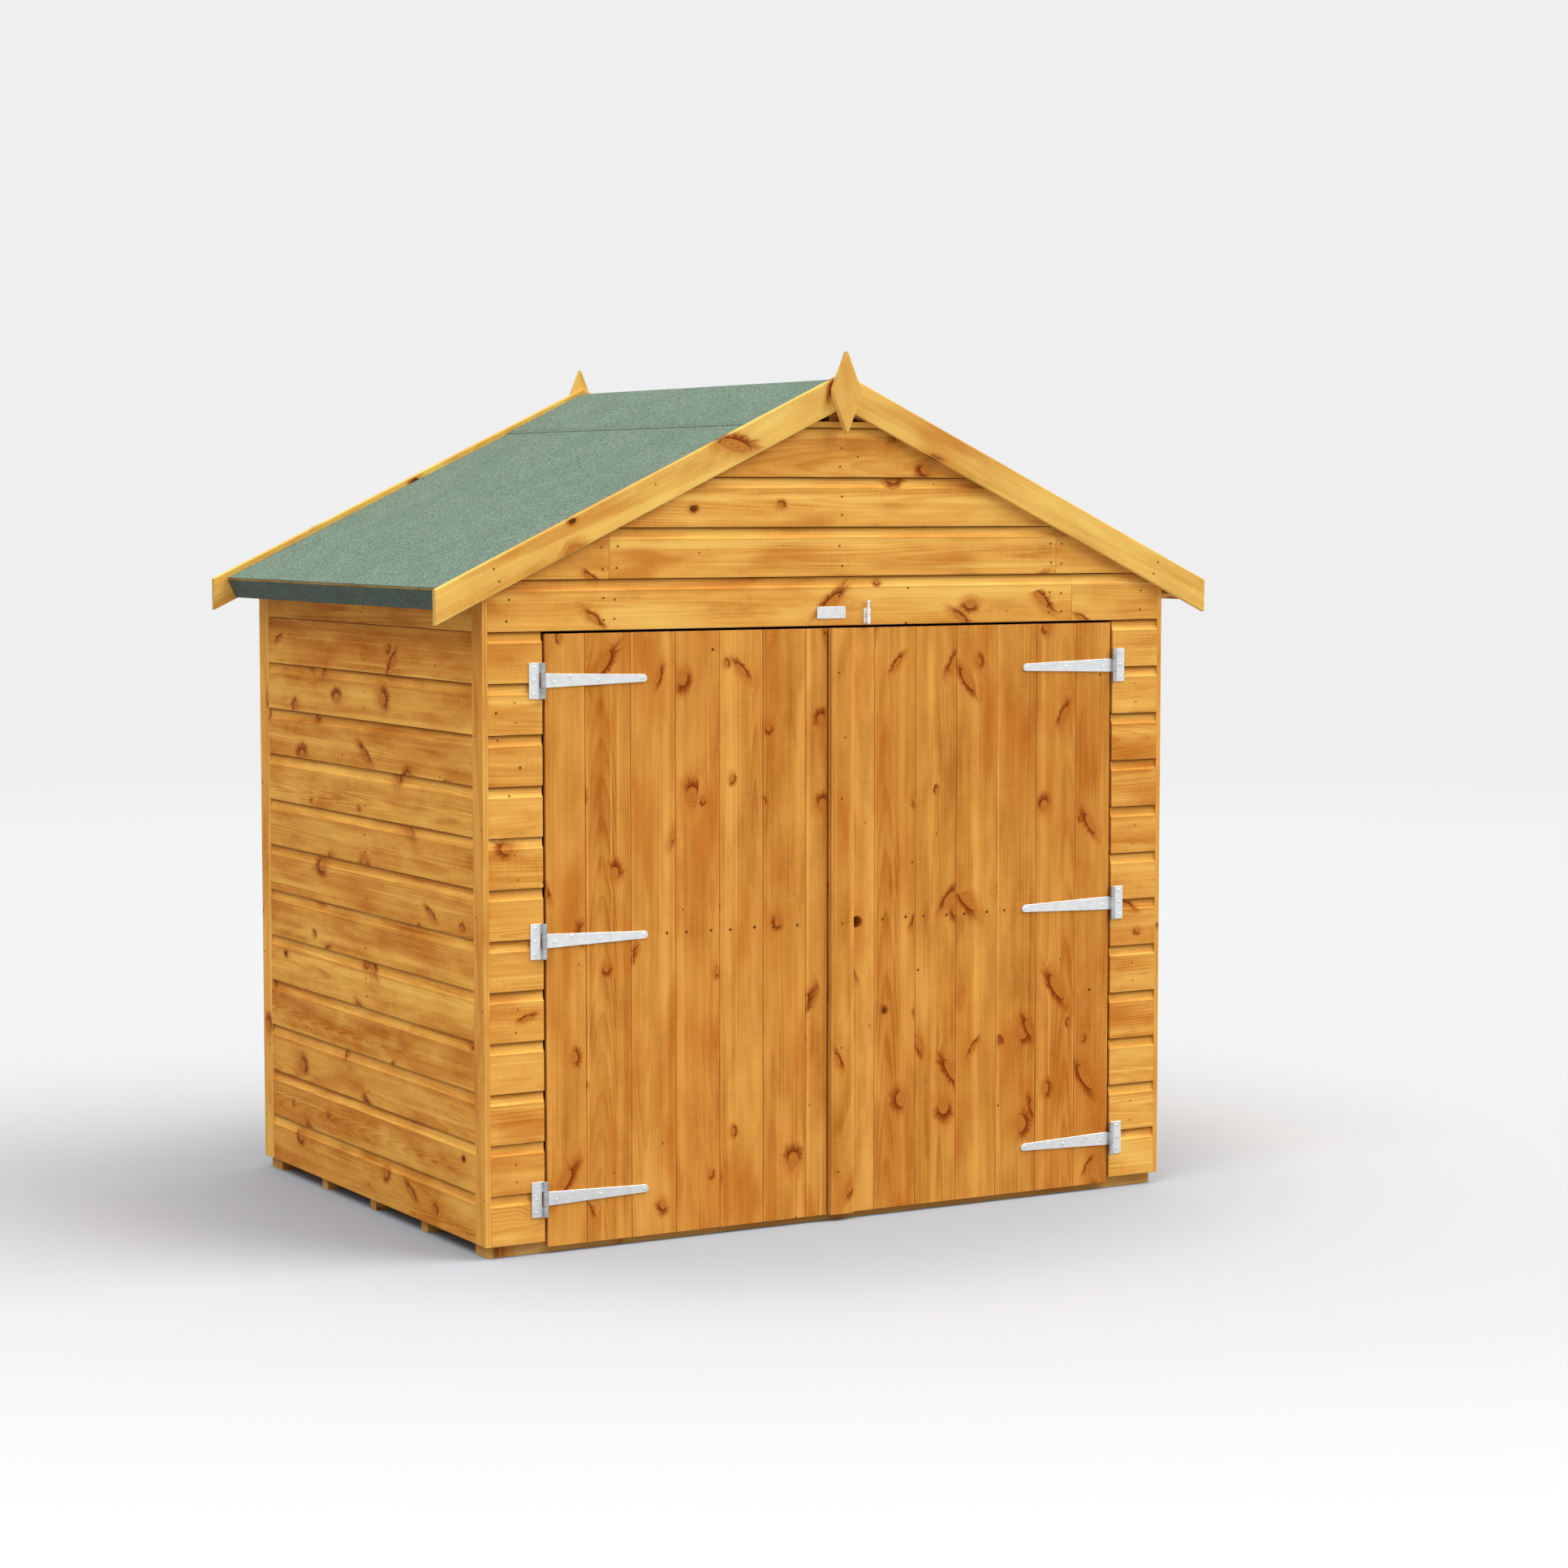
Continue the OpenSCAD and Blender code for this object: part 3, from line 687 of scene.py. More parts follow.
def knot_cell(s, place, cell, wobble, unrest):
    """Place in a cell of a stretched pattern, from that cell's own point, and its three numbers."""
    x, y, _ = s.split(place)
    scale = (cell[0], cell[1], 1.0)
    flat = s.vector("DIVIDE", s.join(x, y), scale)
    pattern = s.node("TexVoronoi", {"Vector": flat, "Scale": 1.0, "Randomness": 0.95},
                     voronoi_dimensions="2D")
    away = s.split(s.vector("MULTIPLY", s.vector("SUBTRACT", flat, pattern["Position"]), scale))
    numbers = s.node("SeparateColor", {0: pattern["Color"]})
    shake = s.times(wobble, unrest)
    return s.plus(away[0], shake), s.plus(away[1], shake), numbers[0], numbers[1], numbers[2]


def felt_material(name, dark, light):
    """Green mineral felt: crushed stone granules on a bitumen sheet."""
    s = Shader(bpy.data.materials.new(name))
    light = colour(*light)
    dark = colour(*dark)
    place = s.coordinates()
    grit = s.node("TexVoronoi", {"Vector": place, "Scale": 460.0})
    tint = s.node("SeparateColor", {0: grit["Color"]})
    coarse = s.noise(place, 240.0, 3.0, 0.7)
    cloud = s.noise(place, 7.0, 4.0, 0.6)
    pale = (light[0] * 1.25, light[1] * 1.2, light[2] * 1.22, 1.0)
    deep = (dark[0] * 0.6, dark[1] * 0.62, dark[2] * 0.6, 1.0)
    base = s.mix(s.ramp(tint[0], 0.15, 0.95), dark, light)
    base = s.mix(s.ramp(coarse, 0.54, 0.66), base, pale)
    base = s.mix(s.ramp(coarse, 0.47, 0.36), base, deep)
    base = s.mix(s.ramp(cloud, 0.35, 0.75, 0.0, 0.3), base, dark)
    height = s.plus(s.times(grit["Distance"], -0.6), coarse)
    return s.surface(Base_Color=base, Roughness=s.line(tint[1], 0.12, 0.82),
                     Normal=s.bump(height, 0.8, 0.0016))


def zinc_material(name, light, dark, rough):
    """Zinc-plated steel: faint clouds and fine rolling marks."""
    s = Shader(bpy.data.materials.new(name))
    light = colour(*light)
    dark = colour(*dark)
    place = s.coordinates()
    cloud = s.noise(place, 46.0, 3.0, 0.6)
    marks = s.streaks(place, (60.0, 900.0, 900.0), 2.0, 0.6)
    base = s.mix(s.ramp(cloud, 0.3, 0.75), light, dark)
    base = s.mix(s.ramp(marks, 0.45, 0.8, 0.0, 0.35), base, dark)
    return s.surface(Base_Color=base, Metallic=1.0, Roughness=s.line(cloud, 0.22, rough - 0.11),
                     Normal=s.bump(marks, 0.06, 0.0003))


KNOT = colour(140, 56, 8)
KNOT_GLOW = colour(190, 98, 20)
KNOT_DARK = colour(74, 34, 12)
KNOT_RIM = colour(100, 40, 8)
EYE = colour(200, 124, 48)
# A smoky tone of the wood, also laid on hollows as painted shade
SMOKE_AND_SHADE = colour(160, 92, 28)
# Painted shade in the slots between cladding boards
SLOT_SHADE = colour(150, 84, 30)

# Finishes, each a slot of the record and a material
cladding_pine = ("cladding_timber", pine("cladding_pine", (254, 198, 99), (208, 128, 43), 0.62, 1.2))
# A darker, redder copy of the cladding for the side and back walls, as painted shade
shaded_side_pine = ("cladding_timber", pine("shaded_side_pine", (253, 191, 90), (190, 106, 25), 0.8, 1.35))
door_pine = ("door_timber", pine("door_pine", (235, 168, 78), (182, 107, 33), 1.1, 1.25))
trim_pine = ("trim_timber", pine("trim_pine", (255, 212, 112), (222, 157, 67), 0.45, 1.2))
corner_pine = ("trim_timber", pine("corner_pine", (252, 194, 96), (211, 135, 52), 0.45, 1.2))
finial_pine = ("trim_timber", pine("finial_pine", (255, 214, 116), (228, 166, 76), 0.0, 0.8))
frame_pine = ("frame_timber", pine("frame_pine", (240, 194, 112), (204, 142, 66), 0.8, 0.9, 0.68))
felt = ("roofing_felt", felt_material("mineral_felt", (78, 101, 83), (132, 152, 133)))
# A darker copy of the felt for the eaves apron, as painted shade
felt_edge = ("roofing_felt", felt_material("felt_edge", (48, 64, 55), (92, 112, 96)))
zinc = ("zinc_steel", zinc_material("zinc_plate", (238, 239, 239), (220, 222, 223), 0.36))
# A lighter copy of the zinc for the bolt, as painted light
lit_zinc = ("zinc_steel", zinc_material("lit_zinc", (250, 250, 250), (234, 236, 237), 0.40))
# A darker copy of the zinc for the hinge knuckles, as painted shade
shaded_zinc = ("zinc_steel", zinc_material("shaded_zinc", (196, 198, 199), (160, 164, 167), 0.3))
nail_steel = ("zinc_steel", zinc_material("nail_steel", (132, 88, 42), (84, 52, 24), 0.5))


# Walls

def shiplap_section():
    """Section of a cladding board: a scoop and a tongue at its top, and a rebate behind its lower edge."""
    lip = LAP_GAP - SLOT_D
    scoop_z = COVER - SCOOP_H
    scoop_top = COVER - SLOT_H
    tongue_top = COVER + LAP
    low = EASE + WEAR_AND_LIGHT_BAND
    high = scoop_z - WEAR_AND_LIGHT_BAND
    # The third numbers paint light and shade: dark shade under the board's lower edge and in the slot, a
    # faint highlight on that edge and on the scoop's lower ledge, shade in the top of the scoop, and a
    # darker band just below the scoop.
    section = [(0, lip, -2), (0, -EASE, -1), (EASE * 0.3, -EASE * 0.3, 0.3), (EASE, 0, 0.25)]
    section += [(low + (high - low) * k / FACE_STEPS, 0, 0) for k in range(FACE_STEPS)]
    section += [(high - WEAR_AND_LIGHT_BAND, 0, -0.3), (high, 0, -0.4)]
    section += [(scoop_z - EASE / 2, 0, 0.15), (scoop_z, -EASE / 3, 0.15)]
    for degrees, wear_and_light in ((14, 0.15), (26, 0.12), (40, 0.1), (54, 0), (72, -0.15), (90, -0.7)):
        angle = radians(degrees)
        section.append((scoop_top - (SCOOP_H - SLOT_H) * cos(angle), -SCOOP_D * sin(angle), wear_and_light))
    section += [(scoop_top, -SLOT_D, -2), (tongue_top - EASE, -SLOT_D, -2)]
    section += [(tongue_top, -SLOT_D - EASE / 2, 0), (tongue_top, -BOARD_T, 0)]
    return section + [(LAP + LAP_GAP, -BOARD_T, 0), (LAP + LAP_GAP, lip, 0)]


def gable_limit(z):
    """Distance from the middle to the sloping edge of a gable at a height."""
    return min(FRAME_X, (RIDGE_Z - ROOF_GAP - z) / TAN)


def gable_reach(joints):
    """Ends of the boards of a gable. joints gives, for some courses, where its boards meet end to end."""
    def reach(z):
        meets = sorted(joints.get(round((z - HEAD_Z) / COVER), ()))
        stops = [lambda a: -gable_limit(z + a)] + meets + [lambda a: gable_limit(z + a)]
        return zip(stops, stops[1:])
    return reach


def gable_nails(xs):
    """Places of the nails of a gable at a height, clear of its sloping edges."""
    return lambda z: [x for x in xs if abs(x) < gable_limit(z + COVER) - GABLE_NAIL_EDGE]


def nail(piece, place, out, radius=NAIL_R):
    """Small round head of a nail, a little sunk in the wood."""
    profile = ((1, -0.0006), (1, 0.0001), (0.7, 0.0004), (0.3, 0.0004))
    piece.turn([(radius * share, height, 0) for share, height in profile], place, out, 8)


def screw(piece, place, out, radius=SCREW_R):
    """Domed head of a screw with a cross-shaped recess."""
    profile = ((1, -0.0004, 0), (1, 0.0003, 0), (0.88, 0.0011, 0), (0.62, 0.0015, 0),
               (0.42, 0.0016, 0.34), (0.34, 0.0004, 0.34), (0.1, 0.0002, 0))
    piece.turn([(radius * share, height, lobe) for share, height, lobe in profile], place, out)


def clad(name, finish, along, out, heights, reach, uprights, rises=NAIL_RISES, radius=NAIL_R):
    """Courses of boards on a wall, and their nails. reach gives the ends of the boards in the course at a
    height, and uprights the places of what they are nailed to."""
    low, top = heights
    face = HALF_W if along == Y else HALF_D
    boards = Piece(f"{name}_boards")
    nails = Piece(f"{name}_nails")
    course = 0
    while low + course * COVER < top - EASE:
        z = low + course * COVER
        section = cut_level(shiplap_section(), top - z)
        for start, end in reach(z):
            proud = boards.random.uniform(-BOARD_PLAY, 0.0)
            boards.run(section, start, end, (along, Z, out), out * (face + proud) + Z * z)
        nailed = uprights(z) if z + COVER / 2 < top else ()
        for run in nailed:
            for rise in rises[course % len(rises)]:
                shift = nails.stray(NAIL_PLAY)
                height = z + rise + nails.stray(RISE_PLAY)
                if height < top:
                    nail(nails, along * (run + shift) + out * face + Z * height, out, radius)
        course += 1
    boards.make(finish, f"{name}_cladding")
    nails.make(nail_steel)


def stud_places(reach, count):
    """Middles of a wall's studs, evenly spread between its two ends."""
    step = (2 * reach - STUD_W) / (count - 1)
    return [i * step - reach + STUD_W / 2 for i in range(count)]


def build_walls():
    """Cladding of the four walls, with its nails."""
    # The side and back walls take the darker copy of the cladding, painted shade
    for side, sign in SIDES:
        clad(f"{side}_wall", shaded_side_pine, Y, X * sign, (CLAD_BOTTOM, SIDE_TOP), lambda z: [(-TRIM_Y, TRIM_Y)],
             lambda z: stud_places(SIDE_Y, SIDE_STUDS)[1:-1], SIDE_NAIL_RISES)
    clad("back_wall", shaded_side_pine, X, Y, (CLAD_BOTTOM, GABLE_TOP), gable_reach(BACK_JOINTS),
         gable_nails(stud_places(FRAME_X, BACK_STUDS)))
    for side, start, end in (("left", -FRAME_X, -DOORWAY_X), ("right", DOORWAY_X, FRAME_X)):
        clad(f"front_{side}", cladding_pine, X, -Y, (CLAD_BOTTOM, HEAD_Z), lambda z: [(start, end)],
             lambda z: [(start + end) / 2], STRIP_NAIL_RISES, STRIP_NAIL_R)
    clad("front_gable", cladding_pine, X, -Y, (HEAD_Z, GABLE_TOP), gable_reach(GABLE_JOINTS),
         gable_nails(GABLE_NAIL_XS))


def build_frame():
    """Studs, rails and floor."""
    sole_top = DECK_TOP + STUD_T
    for side, sign in SIDES:
        studs = Piece(f"{side}_studs")
        inner = FRAME_X - STUD_T
        rail_z = RIDGE_Z - HALF_W * TAN - STUD_W
        x0, x1 = sorted((sign * inner, sign * FRAME_X))
        for y in stud_places(SIDE_Y, SIDE_STUDS):
            studs.timber((x0, y - STUD_W / 2, sole_top), (x1, y + STUD_W / 2, rail_z), Z)
        studs.make(frame_pine, f"{side}_wall_studs")
        rails = Piece(f"{side}_rails")
        rails.timber((x0, -SIDE_Y, DECK_TOP), (x1, SIDE_Y, sole_top), Y)
        bevelled = [(inner, rail_z), (FRAME_X, rail_z), (FRAME_X, RIDGE_Z - FRAME_X * TAN),
                    (inner, RIDGE_Z - inner * TAN)]
        rails.run(eased(bevelled), -SIDE_Y, SIDE_Y, (Y, X * sign, Z))
        rails.make(frame_pine, f"{side}_wall_rails")

    for end, sign in ENDS:
        y0, y1 = sorted((sign * SIDE_Y, sign * FRAME_Y))
        plumb = STUD_W / COS
        corner_x = FRAME_X - STUD_W / 2
        jamb = DOORWAY_X + STUD_W / 2
        uprights = [(x, sole_top, RIDGE_Z - FRAME_X * TAN - plumb) for x in (-corner_x, corner_x)]
        uprights.append((0, HEAD_Z + STUD_W, RIDGE_Z - STUD_W / 2 * TAN - plumb))
        soles = [(-FRAME_X, FRAME_X)]
        middles = stud_places(FRAME_X, BACK_STUDS)[1:-1]
        if end == "front":
            soles = [(-FRAME_X, -DOORWAY_X), (DOORWAY_X, FRAME_X)]
            middles = (-jamb, jamb)
        uprights += [(x, sole_top, HEAD_Z) for x in middles]
        studs = Piece(f"{end}_studs")
        for x, low, high in uprights:
            studs.timber((x - STUD_W / 2, y0, low), (x + STUD_W / 2, y1, high), Z)
        studs.make(frame_pine, f"{end}_wall_studs")

        rails = Piece(f"{end}_rails")
        for x0, x1 in soles:
            rails.timber((x0, y0, DECK_TOP), (x1, y1, sole_top), X)
        rails.timber((STUD_W - FRAME_X, y0, HEAD_Z), (FRAME_X - STUD_W, y1, HEAD_Z + STUD_W), X)
        rails.make(frame_pine, f"{end}_wall_rails")

        raking = Piece(f"{end}_raking_rails")
        for _, side in SIDES:
            axes = (down_slope(side), off_slope(side), Y)
            raking.run(eased(rectangle(-STUD_W, 0, y0, y1)), lambda a: (RAKING_GAP - a * SIN) / COS,
                       lambda a: (FRAME_X - a * SIN) / COS, axes, Z * RIDGE_Z)
        raking.make(frame_pine, f"{end}_gable_rails")

    joists = Piece("joists")
    clear = (2 * FLOOR_Y - 2 * OUTER_JOIST_W - INNER_JOISTS * INNER_JOIST_W) / (INNER_JOISTS + 1)
    starts = [(-FLOOR_Y, OUTER_JOIST_W), (FLOOR_Y - OUTER_JOIST_W, OUTER_JOIST_W)]
    for i in range(INNER_JOISTS):
        starts.append((OUTER_JOIST_W - FLOOR_Y + (i + 1) * clear + i * INNER_JOIST_W, INNER_JOIST_W))
    for y, width in starts:
        joists.timber((-FRAME_X, y, 0), (FRAME_X, y + width, JOIST_H), X)
    joists.make(frame_pine, "floor_joists")

    floor = Piece("floor_boards")
    for x, width in board_places(FRAME_X):
        floor.timber((x, -FLOOR_Y, JOIST_H), (x + width, FLOOR_Y, DECK_TOP), Y)
    floor.make(frame_pine, "floor_deck")


def board_places(reach):
    """Start and width of each of the equal boards that fill a floor or a slope."""
    count = round(2 * reach / COVER)
    width = 2 * reach / count
    return [(i * width - reach, width) for i in range(count)]


def build_trims():
    """Upright boards on the ends of the side walls."""
    for end, sign_y in ENDS:
        for side, sign_x in SIDES:
            trim = Piece(f"{end}_{side}_trim")
            x0, x1 = sorted((sign_x * FRAME_X, sign_x * HALF_W))
            y0, y1 = sorted((sign_y * HALF_D, sign_y * TRIM_Y))
            trim.timber((x0, y0, CLAD_BOTTOM), (x1, y1, SIDE_TOP), Z)
            trim.make(corner_pine, f"corner_trim_{end}_{side}")
            nails = Piece(f"{end}_{side}_trim_nails")
            for k in range(TRIM_NAILS):
                play = nails.stray(TRIM_NAIL_PLAY)
                z = CLAD_BOTTOM + TRIM_NAIL_Z + k * TRIM_NAIL_STEP + play
                y = sign_y * (HALF_D - TRIM_NAIL_EDGE - TRIM_NAIL_ROW * (k % 2))
                nail(nails, Vector((sign_x * HALF_W, y, z)), X * sign_x)
            nails.make(nail_steel)


# Roof

def down_slope(side):
    """Direction down a slope."""
    return Vector((side * COS, 0, -SIN))


def off_slope(side):
    """Direction out of a slope, square to it."""
    return Vector((side * SIN, 0, COS))


def slope(side, u, v, y):
    """Point on a slope: u runs down from the ridge, and v up from the under side of the boards."""
    return Vector((side * (u * COS + v * SIN), y, RIDGE_Z - u * SIN + v * COS))


def build_roof():
    """Boards, battens and felt of both slopes."""
    battens = Piece("battens")
    for side, sign in SIDES:
        down = down_slope(sign)
        up = off_slope(sign)
        boards = Piece(f"{side}_roof_boards")
        for y, width in board_places(HALF_D):
            section = eased(rectangle(y, y + width, SEAT_GAP, ROOF_T))
            boards.run(section, RIDGE_CLEAR, EAVES_U, (down, Y, up), Z * RIDGE_Z)
        boards.make(frame_pine, f"roof_boards_{side}")
        for u, reach in ((EAVES_U - BATTEN_W, HALF_D), (RIDGE_BATTEN_U, SIDE_Y)):
            section = eased(rectangle(u, u + BATTEN_W, -BATTEN_H, 0))
            battens.run(section, -reach, reach, (Y, down, up), Z * RIDGE_Z)

        sheet = Piece(f"{side}_felt")
        sheet.slab(lambda i, j, is_top: felt_point(sign, i, j, is_top), SHEET_ROWS, FELT_COLUMNS)
        sheet.make(felt, f"roof_felt_{side}")
        # The apron takes the darker felt, painted shade
        apron = Piece(f"{side}_eaves_felt")
        strip = rectangle(EAVES_U + SEAT_GAP, FELT_U, -BATTEN_H, ROOF_T - FELT_REVEAL)
        apron.run(eased(strip, APRON_EASE, APRON_BAND), -HALF_D, HALF_D, (Y, down, up), Z * RIDGE_Z)
        apron.make(felt_edge)
    battens.make(frame_pine, "roof_battens")

    ridge = Piece("ridge_strip")
    ridge.slab(ridge_point, RIDGE_ROWS, FELT_COLUMNS)
    ridge.make(felt, "ridge_felt")


def ripple(side, place, size, sink):
    """Slight unevenness of a felt sheet that lies on boards."""
    return off_slope(side) * (size * noise.noise(place * FELT_WAVES) - sink)


def felt_point(side, i, j, is_top):
    """Point on the felt of a slope."""
    v = ROOF_T + (FELT_T if is_top else SEAT_GAP)
    u = -v * TAN + i * (EAVES_U + v * TAN)
    place = slope(side, u, v, (2 * j - 1) * HALF_D)
    if is_top:
        place += ripple(side, place, 0.0006, 0.0004)
    return place


def ridge_point(i, j, is_top):
    """Point on the ridge strip, which thins to its edges and has a small round for a fold."""
    share = abs(2 * i - 1)
    side = 1 if i > 0.5 else -1
    thick = min(FELT_T, RIDGE_EDGE_T + (1 - share) * RIDGE_FELT_W * RIDGE_TAPER)
    v = ROOF_T + FELT_T + (thick if is_top else SEAT_GAP)
    u = share * RIDGE_FELT_W - v * TAN * (1 - share)
    place = slope(side, u, v, (2 * j - 1) * HALF_D)
    if is_top:
        fold = max(0.0, 1 - abs(place.x) / FOLD_R)
        place.z -= FOLD_D * fold * fold
        place += ripple(side, place, 0.0005, 0.0003)
    return place


def build_gable_trim():
    """Bargeboards and finials of both ends."""
    for end, sign_y in ENDS:
        out = Y * sign_y
        for side, sign_x in SIDES:
            board = Piece(f"{end}_{side}_bargeboard")
            along = down_slope(sign_x)
            across = off_slope(sign_x)
            board.run(eased(rectangle(-BARGE_W, 0, HALF_D, BARGE_Y)), lambda a: -a * TAN,
                      lambda a: (BARGE_X - a * SIN) / COS, (along, across, out), Z * BARGE_TIP)
            board.make(trim_pine, f"bargeboard_{end}_{side}")
            nails = Piece(f"{end}_{side}_bargeboard_nails")
            for row in BARGE_NAIL_ROWS:
                nail(nails, Z * BARGE_TIP + along * BARGE_NAIL_RUN + across * row + out * BARGE_Y, out)
            nails.make(nail_steel)
        finial = Piece(f"{end}_finial")
        middle = (FINIAL_LOW.z + FINIAL_HIGH.z) / 2
        half_w = FINIAL_HIGH.x
        half_h = FINIAL_HIGH.z - middle
        wide = half_w - FINIAL_CUT
        flat = half_h * FINIAL_CUT / half_w
        diamond = [(-half_h, 0), (-flat, wide), (flat, wide), (half_h, 0), (flat, -wide), (-flat, -wide)]
        lean = atan2(half_w, half_h)
        along = Z * cos(lean) - X * sin(lean)
        across = X * cos(lean) + Z * sin(lean)
        turned = [(z * along.z + x * along.x, z * across.z + x * across.x) for z, x in diamond]
        finial.plate(turned, BARGE_Y, -FINIAL_LOW.y, (along, across, out), Z * middle)
        finial.make(finial_pine, f"finial_{end}")


# Doors

def door_edge(edge, inward, is_plain):
    """Half of a door board's section, from its back to its face. The board has a groove at its first edge
    and a tongue at its last one, unless the edge is plain."""
    # The third numbers paint a highlight on the eased front edges and the groove's shoulder, partly standing
    # for wear
    if is_plain:
        return [(edge, -BOARD_T, 0), (edge, -EASE, 0.7), (edge + inward * EASE, 0, 0.7),
                (edge + inward * (EASE + WEAR_AND_LIGHT_BAND), 0, 0)]
    gap = LAP_GAP / 2
    near = edge + inward * gap
    deep = edge + TONGUE_L + inward * gap
    middle = (-BOARD_T + TONGUE_T) / 2
    half = TONGUE_T / 2 + (gap if inward > 0 else 0)
    shoulder = GROOVE_W / 2
    return [(near, -BOARD_T, 0), (near, middle - half, 0), (deep, middle - half, 0),
            (deep, middle + half, 0), (near, middle + half, 0), (near, -GROOVE_D, 0),
            (edge + inward * shoulder, 0, 0.8), (edge + inward * (shoulder + WEAR_AND_LIGHT_BAND), 0, 0)]


def door_joints(width):
    """Places of the joints of a door's boards, from its hinge side."""
    joints = [0.0]
    run = FIRST_BOARD_W
    while run <= width - LAST_BOARD_W:
        joints.append(run)
        run += COVER
    return joints + [width]


def build_doors():
    """Boards, ledges and nails of both doors, and the cover strip on the right one."""
    for side, sign in SIDES:
        body = f"{side}_door"
        low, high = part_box(f"{side}_door_boards")
        width = high.x - low.x
        hinge_edge = sign * DOOR_EDGE
        joints = door_joints(width)
        spans = list(zip(joints, joints[1:]))
        boards = Piece(f"{side}_door_planks")
        for first, last in spans:
            meets = last == width
            if side == "right" and meets:
                boards.pierced((DOOR_BOTTOM, low.x), (DOOR_TOP, hinge_edge - first - LAP_GAP / 2),
                               (LOCK_Z, LOCK_X), LOCK_R, HALF_D - BOARD_T, HALF_D, (Z, X, -Y))
            else:
                section = door_edge(first, 1, first == 0) + door_edge(last, -1, meets)[::-1]
                boards.run(section, DOOR_BOTTOM, DOOR_TOP, (Z, X * -sign, -Y),
                           Vector((hinge_edge, -HALF_D, 0)))
        boards.make(door_pine, f"{side}_door_boards", body=body)

        ledges = Piece(f"{side}_ledges")
        low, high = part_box(f"{side}_door_ledges")
        for middle in HINGE_ZS:
            z0 = middle - LEDGE_H / 2
            z1 = middle + LEDGE_H / 2
            if side == "right" and z0 < LOCK_Z < z1:
                ledges.pierced((low.x, z0), (high.x, z1), (LOCK_X, LOCK_Z), LOCK_R, low.y, high.y, (X, Z, Y))
            else:
                ledges.timber((low.x, low.y, z0), (high.x, high.y, z1), X)
        ledges.make(door_pine, f"{side}_door_ledges", body=body)

        nails = Piece(f"{side}_door_nails")
        for first, last in spans:
            for share in DOOR_NAIL_SHARES:
                run = first + (last - first) * share
                x = hinge_edge - sign * run
                z = HINGE_ZS[1] + DOOR_NAIL_Z + nails.stray(DOOR_NAIL_PLAY)
                if STRAP_L + STRAP_CLEAR < run < width - MEETING_CLEAR and abs(x - LOCK_X) > LOCK_CLEAR:
                    nail(nails, Vector((x, -HALF_D, z)), -Y, DOOR_NAIL_R)
        nails.make(nail_steel, body=body)

    cover = Piece("cover_strip")
    low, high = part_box("door_cover_strip")
    cover.timber(low, high, Z)
    cover.make(door_pine, "door_cover_strip", body="right_door")
    nails = Piece("cover_strip_nails")
    for k in range(COVER_NAILS):
        x = nails.stray(COVER_NAIL_PLAY)
        nail(nails, Vector((x, low.y, DOOR_BOTTOM + COVER_NAIL_Z + k * COVER_NAIL_STEP)), -Y)
    nails.make(nail_steel, body="right_door")


# Metal

def build_hinges():
    """T-hinges: plates on the wall, straps on the doors."""
    root = STRAP_ROOT_W / 2
    tip_r = STRAP_TIP_W / 2
    knuckle = root + KNUCKLE_GAP
    half = PLATE_H / 2
    notch = -BARREL_R - BARREL_GAP
    leaf = [(-half, -PLATE_W), (half, -PLATE_W), (half, 0), (knuckle, 0), (knuckle, notch),
            (-knuckle, notch), (-knuckle, 0), (-half, 0)]
    strap = [(0, -root)] + arc((STRAP_L - tip_r, 0), tip_r, -90, 90, 12) + [(0, root)]
    face = HALF_D + HINGE_T
    for side, sign in SIDES:
        plates = Piece(f"{side}_plates")
        straps = Piece(f"{side}_straps")
        plate_knuckles = Piece(f"{side}_plate_knuckles")
        strap_knuckles = Piece(f"{side}_strap_knuckles")
        inward = X * -sign
        for z in HINGE_ZS:
            pin = Vector((sign * abs(PIN.x), PIN.y, z))
            place = Vector((pin.x, 0, z))
            plates.plate(leaf, HALF_D, face, (Z, inward, -Y), place, METAL_EDGE)
            for up in (-1, 1):
                barrel(plate_knuckles, pin + Z * up * knuckle, Z * up, half - knuckle)
            for rise in PLATE_SCREW_ZS:
                screw(plates, place + inward * PLATE_SCREW_X + Z * rise - Y * face, -Y)
            straps.plate(strap, HALF_D, face, (inward, Z, -Y), place, METAL_EDGE)
            barrel(strap_knuckles, pin - Z * root, Z, STRAP_ROOT_W)
            for run, rise in STRAP_SCREWS:
                screw(straps, place + inward * run + Z * rise - Y * face, -Y)
        plates.make(zinc, f"{side}_hinge_plates")
        straps.make(zinc, f"{side}_hinge_straps", body=f"{side}_door")
        # The knuckles take the darker zinc, painted shade
        plate_knuckles.make(shaded_zinc)
        strap_knuckles.make(shaded_zinc, body=f"{side}_door")


def barrel(piece, place, axis, length):
    """One knuckle of a hinge, with the end of the pin in it."""
    edge = BARREL_EDGE
    pin_r = BARREL_R / 2
    profile = ((pin_r, edge), (pin_r, 0.0), (BARREL_R - edge, 0.0), (BARREL_R, edge),
               (BARREL_R, length - edge), (BARREL_R - edge, length), (pin_r + edge, length),
               (pin_r, length - edge), (pin_r * 0.9, length - edge / 2), (pin_r * 0.4, length - edge / 3))
    piece.turn([(radius, height, 0) for radius, height in profile], place, axis)


